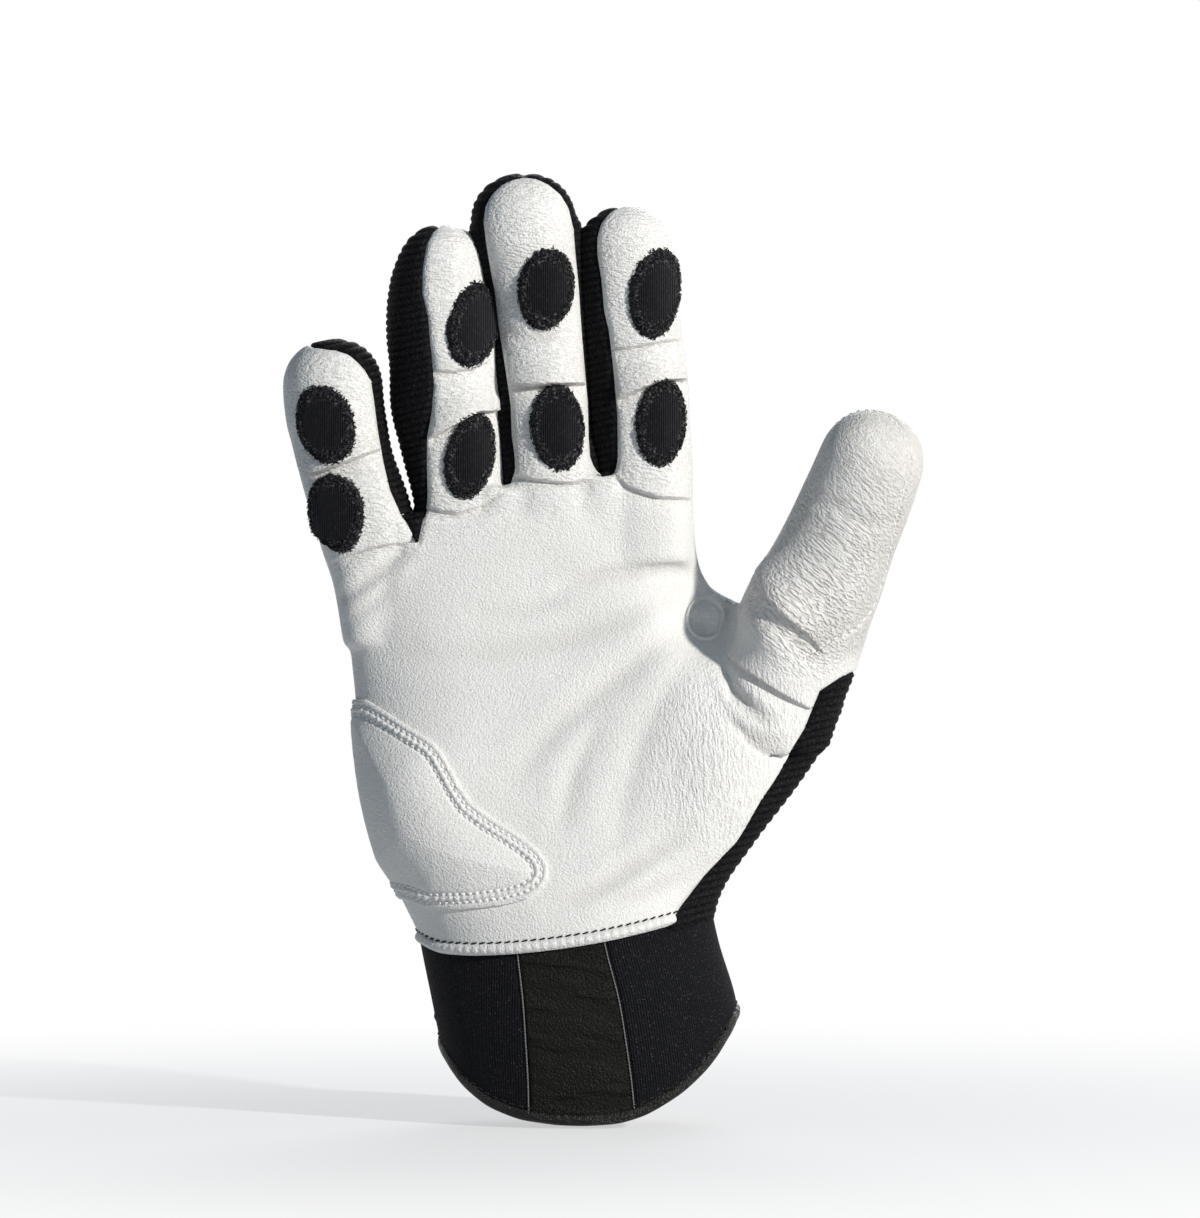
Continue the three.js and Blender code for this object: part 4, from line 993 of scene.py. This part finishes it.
ragged = np.random.default_rng(4)
grip_sides = 96
yarn_count = 330
yarn_radius = 0.11
shares = np.concatenate([[0.02], np.linspace(0.08, 0.84, 16), np.linspace(0.87, 1.0, 7), [1.0]])
for (name, part), outline in grips.items():
    fray = 1 + 0.018 * ragged.standard_normal(grip_sides)
    levels = from_picture([outline[0]])[0, 1] + np.linspace(-16, 16, 65)
    middles, _, halves, _ = finger_line(name, levels)
    stall = (levels, middles, halves)
    points, rim = [], []
    for k, share in enumerate(shares):
        tucked = 0.9 if k == len(shares) - 1 else 0
        for turn, loose in zip(np.arange(grip_sides) * 2 * math.pi / grip_sides, fray):
            place, facing = on_grip(stall, outline, share * (loose if share > 0.84 else 1), turn)
            tuft = 0.16 * ragged.standard_normal() * smooth_between(0.7, 0.86, share) if share < 0.97 else 0
            points.append(place + facing * (grip_rise(share) + tuft - tucked))
            rim.append(float(smooth_between(0.6, 0.72, share + 0.03 * ragged.standard_normal())))
    faces = tube_faces(len(shares), grip_sides, ends=False)
    faces.append(list(range(grip_sides))[::-1])
    # short loops of yarn round the rim
    yarn_turns = ragged.uniform(0, 2 * math.pi, yarn_count)
    for turn, share in zip(yarn_turns, 1.02 - 0.3 * ragged.random(yarn_count) ** 1.2):
        place, facing = on_grip(stall, outline, share, turn)
        along = np.cross(facing, ragged.standard_normal(3))
        along *= ragged.uniform(0.4, 0.65) / np.linalg.norm(along)
        side = np.cross(facing, along) / np.linalg.norm(along)
        faces += tube_faces(5, 4, first=len(points), ends=False)
        for t in np.linspace(-1, 1, 5):
            middle = place + facing * (grip_rise(min(share, 0.99)) + 0.42 - 0.5 * t * t) + along * t
            points += [middle + yarn_radius * way for way in (side, facing, -side, -facing)]
            rim += [1.0] * 4
    grip_piece = mesh_object(f"{name}_plush_{part}", points, faces)
    grip_piece.data.shade_smooth()
    carry(grip_piece, "rim", rim)
    sewn(grip_piece, grip_plush, "black_plush", finger_bend[name, part], f"{name}_grip_{part}")


# Thumb stall: white sheepskin all round, a front and a back panel sewn together along the thumb's outer
# edge with a row of white stitches. Lower and upper panels lie over the ball of the thumb and over its
# knuckle.
thumb_stops = thumb_line([thumb_root_place, thumb_root_place + 11, 42, 54])[0] * 0.001
thumb_bend = {"lower": ("hand", "thumb_lower", *thumb_stops[:2]),
              "upper": ("thumb_lower", "thumb_upper", *thumb_stops[2:])}
in_thumb_part = {"lower": on_thumb & (face_thumb_place < thumb_panel_place),
                 "upper": on_thumb & (face_thumb_place >= thumb_panel_place)}
for part, chosen in in_thumb_part.items():
    front = panel(f"thumb_front_{part}", chosen & ~behind_thumb_seam)
    sewn(front, white_leather, "white_leather", thumb_bend[part], f"thumb_front_leather_{part}",
         f"thumb_{crease_at[part]}_crease")
    rear = panel(f"thumb_back_{part}", chosen & behind_thumb_seam)
    sewn(rear, white_leather, "white_leather", thumb_bend[part], f"thumb_back_leather_{part}")


# Gusset: a small round piece of sheepskin let into the web between the thumb and the first finger. Its edge
# is a narrow rolled seam.
def patch(name, inside, rise, finer, region, thickness=1.0):
    """A piece cut from the skin where inside is above zero, raised, and with its edge turned in."""
    used, faces = np.unique(skin_faces[region], return_inverse=True)
    points = np.column_stack([skin[used, :3], normal[used]])
    faces = faces.reshape(-1, 3)
    for _ in range(finer):
        faces, ends = halved(faces, len(points))
        points = np.vstack([points, points[ends].mean(1)])
    points, faces = trimmed(points, faces, inside)
    lifted = points[:, :3] + points[:, 3:6] * rise(points)[:, None]
    rim, lip = turned_edge(faces, len(points))
    lifted = np.vstack([lifted, lifted[rim] - points[rim, 3:6] * thickness])
    piece = mesh_object(name, lifted, np.vstack([faces, lip]))
    piece.data.shade_smooth()
    carry(piece, "across", np.full(len(lifted), 0.3))
    return piece


gusset_middle, = from_picture([(706, 618.5)])


def in_gusset(skin):
    across, up = ((skin[:, [0, 2]] - gusset_middle) / (5.2, 5.7)).T
    return np.minimum(1 - np.hypot(across, up), (2.0 - skin[:, 1]) / 5)


def gusset_rise(skin):
    inside = in_gusset(skin)
    rolled = 0.65 * np.exp(-(((inside - 0.07) / 0.07) ** 2))
    return 0.25 + rolled - 0.55 * np.exp(-(((inside - 0.21) / 0.07) ** 2))


gusset_region = (np.abs(face_middle[:, [0, 2]] - gusset_middle) < 12).all(1) & (face_middle[:, 1] < 8)
gusset = patch("web_gusset", in_gusset, gusset_rise, 2, gusset_region)
sewn(gusset, white_leather, "white_leather", "hand", "thumb_gusset")


# Heel patch: a second layer of sheepskin over a thin foam pad, on the heel of the hand. It is laid on top
# of the palm and held by two rows of white stitches, which draw it down near its edge.
heel_outline = from_picture([(330, 704), (350, 700), (366, 700), (385, 711), (410, 727), (433, 741),
                             (443, 752), (452, 768), (461, 785), (472, 801), (490, 815), (508, 826),
                             (526, 838), (541, 851), (549, 865), (548, 877), (541, 888), (528, 897),
                             (505, 903), (470, 907), (430, 908), (405, 899), (392, 897), (375, 893),
                             (350, 880), (338, 800)])


def in_outline(skin, outline):
    """Distance inside an outline of the picture, below zero outside it."""
    places = skin[:, [0, 2]]
    gap, _ = off_line(places, np.vstack([outline, outline[:1]]))
    inside = np.zeros(len(places), bool)
    for (ax, az), (bx, bz) in zip(outline, np.roll(outline, -1, axis=0)):
        between = (places[:, 1] < az) != (places[:, 1] < bz)
        with np.errstate(divide="ignore", invalid="ignore"):
            cross = ax + (places[:, 1] - az) / (bz - az) * (bx - ax)
        inside ^= between & (places[:, 0] < cross)
    return np.where(inside, gap, -gap)


def in_heel(skin):
    return np.minimum(in_outline(skin, heel_outline), 3.0 - skin[:, 1])


# how far in from the edge the stitches run, how far apart they are and how deep they draw the leather
heel_rows = (1.7, 3.7)
heel_pitch = 1.75
heel_draw = 0.65
# height of the patch at its edge, and how much it gains just inside
heel_edge = 0.75
heel_roll = 0.35


def heel_rise(skin):
    inside = in_heel(skin)
    crown = 2.4 * (1 - np.exp(-((np.clip(inside - 4.2, 0, 60) / 7) ** 1.3)))
    drawn = heel_draw * sum(np.exp(-(((inside - row) / 0.45) ** 2)) for row in heel_rows)
    closed = np.vstack([heel_outline, heel_outline[:1]])
    run = off_line(skin[:, [0, 2]], closed)[1] * np.linalg.norm(np.diff(closed, axis=0), axis=1).sum()
    pillows = 0.4 * np.abs(np.sin(np.pi * run / heel_pitch)) * np.exp(-(((inside - 2.7) / 0.7) ** 2))
    return heel_edge + heel_roll * smooth_between(0, 0.8, inside) + crown - drawn + pillows


heel_region = (face_middle[:, 0] < 0) & (np.abs(face_middle[:, 2] - 81) < 31) & (face_middle[:, 1] < 7)
heel_cover = patch("heel_pad", in_heel, heel_rise, 1, heel_region)
sewn(heel_cover, white_leather, "white_leather", "hand", "heel_pad_cover", "heel_pad_foam")


def chalk_lines(inside, region):
    """The lines of the skin where the field is zero: points and the way the skin faces, in order."""
    faces = skin_faces[region]
    value = np.zeros(len(skin))
    used = np.unique(faces)
    value[used] = inside(skin[used])
    rows = np.column_stack([skin[:, :3], normal])
    ends, links = {}, {}
    for lone, near, far in zip(*crossed(faces, value)[1:]):
        keys = (tuple(sorted((lone, near))), tuple(sorted((lone, far))))
        for key, other in (keys, keys[::-1]):
            links.setdefault(key, []).append(other)
            t = value[key[0]] / (value[key[0]] - value[key[1]])
            ends[key] = rows[key[0]] * (1 - t) + rows[key[1]] * t
    lines = []
    while links:
        start = next((k for k in links if len(links[k]) == 1), next(iter(links)))
        chain, key = [start], start
        while key in links:
            onward = [k for k in links.pop(key) if k in links]
            if onward:
                key = onward[0]
                chain.append(key)
        lines.append(np.array([ends[k] for k in chain]))
    return sorted(lines, key=len, reverse=True)


def evenly(line, step):
    """A line at even steps, lightly smoothed."""
    for _ in range(3):
        line[1:-1] = (line[:-2] + 2 * line[1:-1] + line[2:]) / 4
    run = np.concatenate([[0], np.cumsum(np.linalg.norm(np.diff(line[:, :3], axis=0), axis=1))])
    at = np.arange(0, run[-1], step)
    return np.stack([np.interp(at, run, line[:, k]) for k in range(6)], 1)


def stitches(name, line, pitch, length, radius, lift, slant=0.0):
    """A row of thread stitches along a line: each is a bowed bead whose ends dive into the work."""
    path = evenly(line, 0.1)
    points, faces = [], []
    for start in np.arange(0.3, len(path) * 0.1 - length, pitch):
        faces += tube_faces(7, 8, first=len(points))
        run = path[[min(len(path) - 1, int((start + length * k / 6) * 10)) for k in range(7)]]
        ahead = run[-1, :3] - run[0, :3]
        ahead /= np.linalg.norm(ahead)
        for k, row in enumerate(run):
            share = k / 3 - 1
            out = row[3:] / np.linalg.norm(row[3:])
            side = np.cross(out, ahead)
            thick = radius * (0.35 + 0.65 * math.sqrt(max(0, 1 - share**4)))
            middle = row[:3] + out * (lift - radius * 1.3 * share**4) + side * slant * share
            for turn in np.arange(8) * math.pi / 4:
                points.append(middle + thick * (math.cos(turn) * side + math.sin(turn) * out))
    piece = mesh_object(name, points, faces)
    piece.data.shade_smooth()
    return piece


def spun(name, dark, light):
    """Sewing thread: fine twist, with painted shade between its plies."""
    material, tree, place = finish(name, 0.15, 0.6)
    wave = add_node(tree, "TexWave", bands_direction="DIAGONAL", Vector=place["Object"], Scale=900,
                    Distortion=2.0)
    twist = wave.outputs["Fac"]
    coat(tree, Base_Color=mixed(tree, twist, dark, light), Normal=bumped(tree, twist, 0.5, 0.0001))
    return material


white_thread = spun("white_thread", (0.66, 0.66, 0.65), (0.82, 0.82, 0.8))
for number, row in enumerate(heel_rows):
    line = chalk_lines(lambda s: in_heel(s) - row, heel_region)[0]
    line[:, :3] += line[:, 3:] * (heel_edge + heel_roll - heel_draw)
    thread = stitches(f"heel_stitches_{number + 1}", line, heel_pitch, 1.5, 0.46, 0.16)
    sewn(thread, white_thread, "white_leather", "hand")
# a row beside the thumb's seams
for part, chosen in in_thumb_part.items():
    for number, line in enumerate(chalk_lines(lambda s: past_thumb_seam(s) + 1.2, chosen)[:2]):
        thread = stitches(f"thumb_stitches_{part}_{number + 1}", line, 2.3, 1.6, 0.26, 0.02)
        sewn(thread, white_thread, "white_leather", thumb_bend[part])


# Palm hem: the lower edge of the palm leather, rolled under and laid over the cuff. It is held by a row of
# black stitches, between which the roll puckers up.
hem_pitch = 2.2


def face_outwards(piece):
    """Turns all faces of a piece outwards, and leaves it selected."""
    bpy.ops.object.select_all(action="DESELECT")
    piece.select_set(True)
    bpy.context.view_layer.objects.active = piece
    bpy.ops.object.mode_set(mode="EDIT")
    bpy.ops.mesh.select_all(action="SELECT")
    bpy.ops.mesh.normals_make_consistent(inside=False)
    bpy.ops.object.mode_set(mode="OBJECT")


def along_line(name, line, profile, step=0.5, pucker=0.0):
    """A strip with one cross-section along a line of the skin. The profile gives places across and out."""
    path = evenly(line, step)
    ahead = np.gradient(path[:, :3], axis=0)
    ahead /= np.linalg.norm(ahead, axis=1)[:, None]
    out = path[:, 3:] - (path[:, 3:] * ahead).sum(1)[:, None] * ahead
    out /= np.linalg.norm(out, axis=1)[:, None]
    side = np.cross(out, ahead)
    profile = np.array(profile, float)
    out *= 1 + pucker * np.abs(np.sin(np.pi * np.arange(len(path)) * step / hem_pitch))[:, None]
    rings = path[:, None, :3] + profile[None, :, :1] * side[:, None] + profile[None, :, 1:] * out[:, None]
    piece = closed_tube(name, rings)
    face_outwards(piece)
    bpy.ops.object.shade_smooth()
    return piece


hem_region = face_leather & on_palm & (face_middle[:, 2] < 62)


def hem_path(height):
    """The line at a height above the hem, from the little finger to the thumb."""
    path = chalk_lines(lambda s: above_hem(s) - height, hem_region)[0]
    return path if path[0, 0] < path[-1, 0] else path[::-1].copy()


hem_profile = [(1.45 * math.cos(t), 0.95 * math.sin(t) * abs(math.sin(t)) + 0.1)
               for t in np.linspace(0, 2 * math.pi, 21)[:-1]]
palm_hem = along_line("rolled_hem", hem_path(0.9), hem_profile, step=0.275, pucker=0.2)
sewn(palm_hem, white_leather, "white_leather", "hand", "palm_hem")
black_thread = spun("black_thread", (0.006, 0.006, 0.006), (0.02, 0.02, 0.02))
hem_thread = stitches("hem_stitches", hem_path(2.5), hem_pitch, 1.95, 0.24, 0.12, slant=0.2)
sewn(hem_thread, black_thread, "black_leather", "hand")


# Cuff: two panels of black neoprene faced with fine jersey, and a strip of smooth black leather let in
# between them at the front, with a pale thread along each edge of it. The cuff is open in a slit at the
# back of the wrist.

# height, little-finger edge, thumb edge, palm side, back
cuff_stations = [
    (-4, -33.6, 41.2, -23.4, 24.4), (12, -36.0, 40.0, -24.0, 25.0), (22, -38.0, 38.8, -24.3, 25.2),
    (31, -39.8, 37.4, -24.3, 25.0), (45, -42.6, 33.2, -23.6, 24.2), (58, -44.6, 30.4, -22.6, 22.4),
]
# turn from straight ahead towards the thumb in degrees, height of the lower edge and of the upper edge
cuff_edges = np.array([
    (-190, 14, 50), (-140, 16, 50), (-110, 18, 49), (-90, 18.5, 48), (-75, 15, 47.5), (-60, 9, 47),
    (-45, 4.3, 46), (-30, 1.4, 45.2), (-15, 0.2, 45.4), (-5, 0, 46), (5, 0.5, 47), (15, 2.6, 48.6),
    (30, 7.6, 51.6), (45, 13.6, 54.4), (60, 20, 56.4), (75, 24.8, 57), (90, 26.6, 57), (110, 25, 56),
    (140, 19, 53), (190, 14, 50),
])


def cuff_at(turn, height, out=0.0):
    """A point of the cuff's face, moved outwards."""
    turn, height = np.broadcast_arrays(np.asarray(turn, float), np.asarray(height, float))
    left, right, front, rear = along_table(cuff_stations, height.ravel()).T
    x, y = oval(np.radians(turn.ravel()), (right - left) / 2 + out, 1, 2.25)
    y = np.where(y < 0, -y * (front - out), y * (rear + out))
    return np.stack([x + (left + right) / 2, y, height.ravel()], 1).reshape(turn.shape + (3,))


def cuff_shell(name, turns, heights, out, thickness, soft=0.6):
    """A closed piece that lies on the cuff, over a grid of turns and heights, with softened edges."""
    turns, heights = np.broadcast_arrays(np.asarray(turns, float), np.asarray(heights, float))
    rows, columns = turns.shape
    face = cuff_at(turns, heights)
    run_u = np.cumsum(np.linalg.norm(np.diff(face, axis=1, prepend=face[:, :1]), axis=2), axis=1)
    run_v = np.cumsum(np.linalg.norm(np.diff(face, axis=0, prepend=face[:1]), axis=2), axis=0)
    rim = np.minimum(np.minimum(run_u, run_u[:, -1:] - run_u), np.minimum(run_v, run_v[-1:] - run_v))
    drop = soft * (1 - np.clip(rim / (soft * 1.6), 0, 1)) ** 2
    outside = cuff_at(turns, heights, out)
    ahead = np.gradient(outside, axis=1)
    outward = np.cross(ahead, (0, 0, 1.0))
    outward /= np.linalg.norm(outward, axis=2)[:, :, None]
    if (outward * outside)[:, :, :2].sum() < 0:
        outward = -outward
    outside = outside - outward * drop[:, :, None]
    inside = outside - outward * (thickness - drop)[:, :, None]
    grid = np.arange(rows * columns).reshape(rows, columns)
    quads = np.stack([grid[:-1, :-1], grid[:-1, 1:], grid[1:, 1:], grid[1:, :-1]], -1).reshape(-1, 4)
    border = np.concatenate([grid[0], grid[1:, -1], grid[-1, -2::-1], grid[-2:0:-1, 0]])
    onward = np.roll(border, -1)
    shift = rows * columns
    walls = np.stack([onward, border, border + shift, onward + shift], 1)
    piece = mesh_object(name, np.vstack([outside.reshape(-1, 3), inside.reshape(-1, 3)]),
                        np.vstack([quads, quads[:, ::-1] + shift, walls]))
    cloth = piece.data.uv_layers.new(name="cloth")
    spread = np.tile(np.stack([run_u, run_v], -1).reshape(-1, 2), (2, 1)) * 0.001
    corner = np.zeros(len(piece.data.loops), int)
    piece.data.loops.foreach_get("vertex_index", corner)
    cloth.data.foreach_set("uv", spread[corner].ravel())
    face_outwards(piece)
    bpy.ops.object.shade_smooth_by_angle(angle=math.radians(50))
    return piece


rise_share = np.linspace(0, 1, 44)[:, None]
strip_left = -25.6 + 7.9 * rise_share
strip_right = 11.0 + 0.5 * rise_share
# turns of the two sides of the slit at the back
slit_start, slit_end = -184.2, 167.8


def cuff_reach(turns):
    """Heights of the cuff's lower and upper edges."""
    return [np.interp(turns, cuff_edges[:, 0], cuff_edges[:, k]) for k in (1, 2)]


def cuff_panel(name, low, high, count, out, thickness):
    turns = low + (high - low) * np.linspace(0, 1, count)[None]
    hem, top = cuff_reach(turns)
    return cuff_shell(name, turns, hem + 0.6 + (top - hem - 0.6) * rise_share, out, thickness)


neoprene, neoprene_tree, neoprene_place = finish("black_neoprene", 0.07, 0.75)
jersey_run = add_node(neoprene_tree, "SeparateXYZ", Vector=neoprene_place["UV"]).outputs["X"]
jersey_wale = reckon(neoprene_tree, "SINE", reckon(neoprene_tree, "MULTIPLY", jersey_run, 9000.0))
jersey_loops = add_node(neoprene_tree, "Group", node_tree=loops, Place=neoprene_place["Object"], Scale=2100)
jersey_high = reckon(neoprene_tree, "MULTIPLY_ADD", jersey_wale, 0.35, jersey_loops.outputs["Height"])
jersey_lit = ranged(neoprene_tree, jersey_wale, From_Min=-1.0)
jersey_dark = mixed(neoprene_tree, jersey_lit, (0.0012, 0.0013, 0.0018), (0.0098, 0.0102, 0.0125))
lint = noise(neoprene_tree, neoprene_place["Object"], 3000, 0)
lint_specks = ranged(neoprene_tree, lint, From_Min=0.69, From_Max=0.82)
coat(
    neoprene_tree,
    Base_Color=mixed(neoprene_tree, lint_specks, jersey_dark, (0.055, 0.055, 0.062)),
    Normal=bumped(neoprene_tree, jersey_high, 0.6, 0.0003),
)


def black_hide(name, specular, dull, bright):
    """Thin black leather with creases, duller in its hollows than on its ridges."""
    material, tree, place = finish(name, specular, 0.5)
    creases = add_node(tree, "Group", node_tree=wrinkles, Place=place["Object"], Turn=math.radians(84),
                       Pitch=260.0)
    pebbled = add_node(tree, "Group", node_tree=grain, Place=place["Object"]).outputs
    height = reckon(tree, "MULTIPLY_ADD", creases.outputs[0], 1.1, pebbled["Height"])
    coat(
        tree,
        Base_Color=mixed(tree, pebbled["Mottle"], (0.003, 0.0029, 0.0026), (0.0092, 0.0088, 0.0078)),
        Roughness=ranged(tree, height, From_Max=1.6, To_Min=dull, To_Max=bright),
        Normal=bumped(tree, height, 0.9, 0.0006),
    )
    return material


black_leather = black_hide("black_leather", 0.1, 0.6, 0.44)
cuff_left = cuff_panel("cuff_little_side", slit_start, strip_left - 0.35, 150, 0, 2.3)
cuff_right = cuff_panel("cuff_thumb_side", strip_right + 0.35, slit_end, 140, 0, 2.3)
strip = cuff_panel("cuff_strip", strip_left + 0.15, strip_right - 0.15, 40, 0.15, 1.6)
sewn(cuff_left, neoprene, "black_neoprene", "hand", "cuff_outer_panel")
sewn(cuff_right, neoprene, "black_neoprene", "hand", "cuff_thumb_panel")
sewn(strip, black_leather, "black_leather", "hand", "cuff_leather_strip")
pale_thread = spun("pale_thread", (0.06, 0.06, 0.058), (0.24, 0.24, 0.23))


def cuff_line(turns, heights, out):
    """A line on the cuff with the way the cuff faces, for threads and bindings."""
    places = cuff_at(turns, heights, out)
    facing = cuff_at(turns, heights, out + 1) - places
    facing[:, 2] = 0
    return np.column_stack([places, facing / np.linalg.norm(facing, axis=1)[:, None]])


thread_profile = [(0.2 * math.cos(t), 0.2 * math.sin(t)) for t in np.arange(8) * math.pi / 4]
for side, turns in (("little", strip_left[:, 0]), ("thumb", strip_right[:, 0])):
    hem, top = cuff_reach(turns)
    line = cuff_line(turns, hem + 2.6 + (top - hem - 3.4) * rise_share[:, 0], 0.05)
    edging = along_line(f"strip_thread_{side}", line, thread_profile)
    sewn(edging, pale_thread, "white_leather", "hand")


# Cuff binding: a tape of soft black leather folded over the cuff's lower edge, with a glaze that catches
# the light. A row of black stitches above it goes through both layers.
hem_turns = np.linspace(slit_start, slit_end, 400)
hem_heights = cuff_reach(hem_turns)[0]
for _ in range(12):
    hem_heights[1:-1] = (hem_heights[:-2] + 2 * hem_heights[1:-1] + hem_heights[2:]) / 4
tape_turns = np.linspace(0, 2 * math.pi, 25)[:-1]
tape_round = np.stack([np.cos(tape_turns), np.sin(tape_turns)], 1)
binding_profile = (1.5, 1.75) * np.sign(tape_round) * np.abs(tape_round) ** 0.75
binding = along_line("cuff_binding", cuff_line(hem_turns, hem_heights + 1.5, -1.1), binding_profile, step=0.8)
glazed_leather = black_hide("black_glazed_leather", 0.22, 0.4, 0.32)
sewn(binding, glazed_leather, "black_leather", "hand", "hem_binding")
binding_thread = stitches("binding_stitches", cuff_line(hem_turns, hem_heights + 3.5, 0), 2.4, 1.8, 0.22, 0.1)
sewn(binding_thread, black_thread, "black_leather", "hand")


# Wrist closure, on the back: a leather-edged neoprene strap whose sewn tab is fixed on the little-finger
# side. A pad of hooks under its free end holds to a pad of loops beyond the slit.
def back_turn(x, height):
    """The turn at the back of the wrist for a sideways place at a height."""
    turns = np.linspace(100, 260, 321)
    return np.interp(x, cuff_at(turns, height)[::-1, 0], turns[::-1])


def strap_shell(name, start, end, low, high, out, thickness, round_start, round_end, count=60):
    """A band on the back of the cuff between two sideways places, with rounded corners."""
    across = np.linspace(start, end, count)
    cut = np.zeros(count)
    for tip, corner in ((start, round_start), (end, round_end)):
        inside = np.clip(corner - np.abs(across - tip), 0, corner)
        cut = np.maximum(cut, corner - np.sqrt(corner**2 - inside**2))
    heights = (low + cut) + (high - low - 2 * cut) * np.linspace(0, 1, 24)[:, None]
    turns = np.stack([back_turn(across, level) for level in np.linspace(low, high, 24)])
    return cuff_shell(name, turns, heights, out, thickness, soft=0.5)


loop_pad = strap_shell("loop_patch", 25.2, 8.5, 24.5, 43.5, 0.9, 0.85, 3, 3)
hook_pad = strap_shell("hook_patch", 24, 2.5, 24.5, 43.5, 1.9, 0.85, 3, 3)
strap = strap_shell("wrist_strap", 25.4, -25.4, 22.5, 45.5, 3.9, 1.85, 7, 0, count=110)
tab = strap_shell("sewn_tab", -27.5, -37.2, 22.5, 45.5, 2.0, 1.85, 0, 3)
sewn(loop_pad, grip_plush, "black_plush", "hand", "loop_pad")
sewn(hook_pad, grip_plush, "black_plush", "strap", "hook_pad")
sewn(strap, neoprene, "black_neoprene", "strap", "closure_strap")
sewn(tab, black_leather, "black_leather", "hand", "strap_tab")
across = np.linspace(21, -24.6, 200)
low_row, high_row = 24.2, 43.8
rows = [("strap", back_turn(across, height), np.full(200, height), 3.9) for height in (low_row, high_row)]
levels = np.linspace(low_row, high_row, 80)
rows += [("hand", np.array([back_turn(x, level) for level in levels]), levels, 2.0) for x in (-30.4, -35.6)]
for number, (body, turns, heights, out) in enumerate(rows):
    thread = stitches(f"strap_stitches_{number + 1}", cuff_line(turns, heights, out), 2.4, 1.9, 0.22, 0.08)
    sewn(thread, black_thread, "black_leather", body)
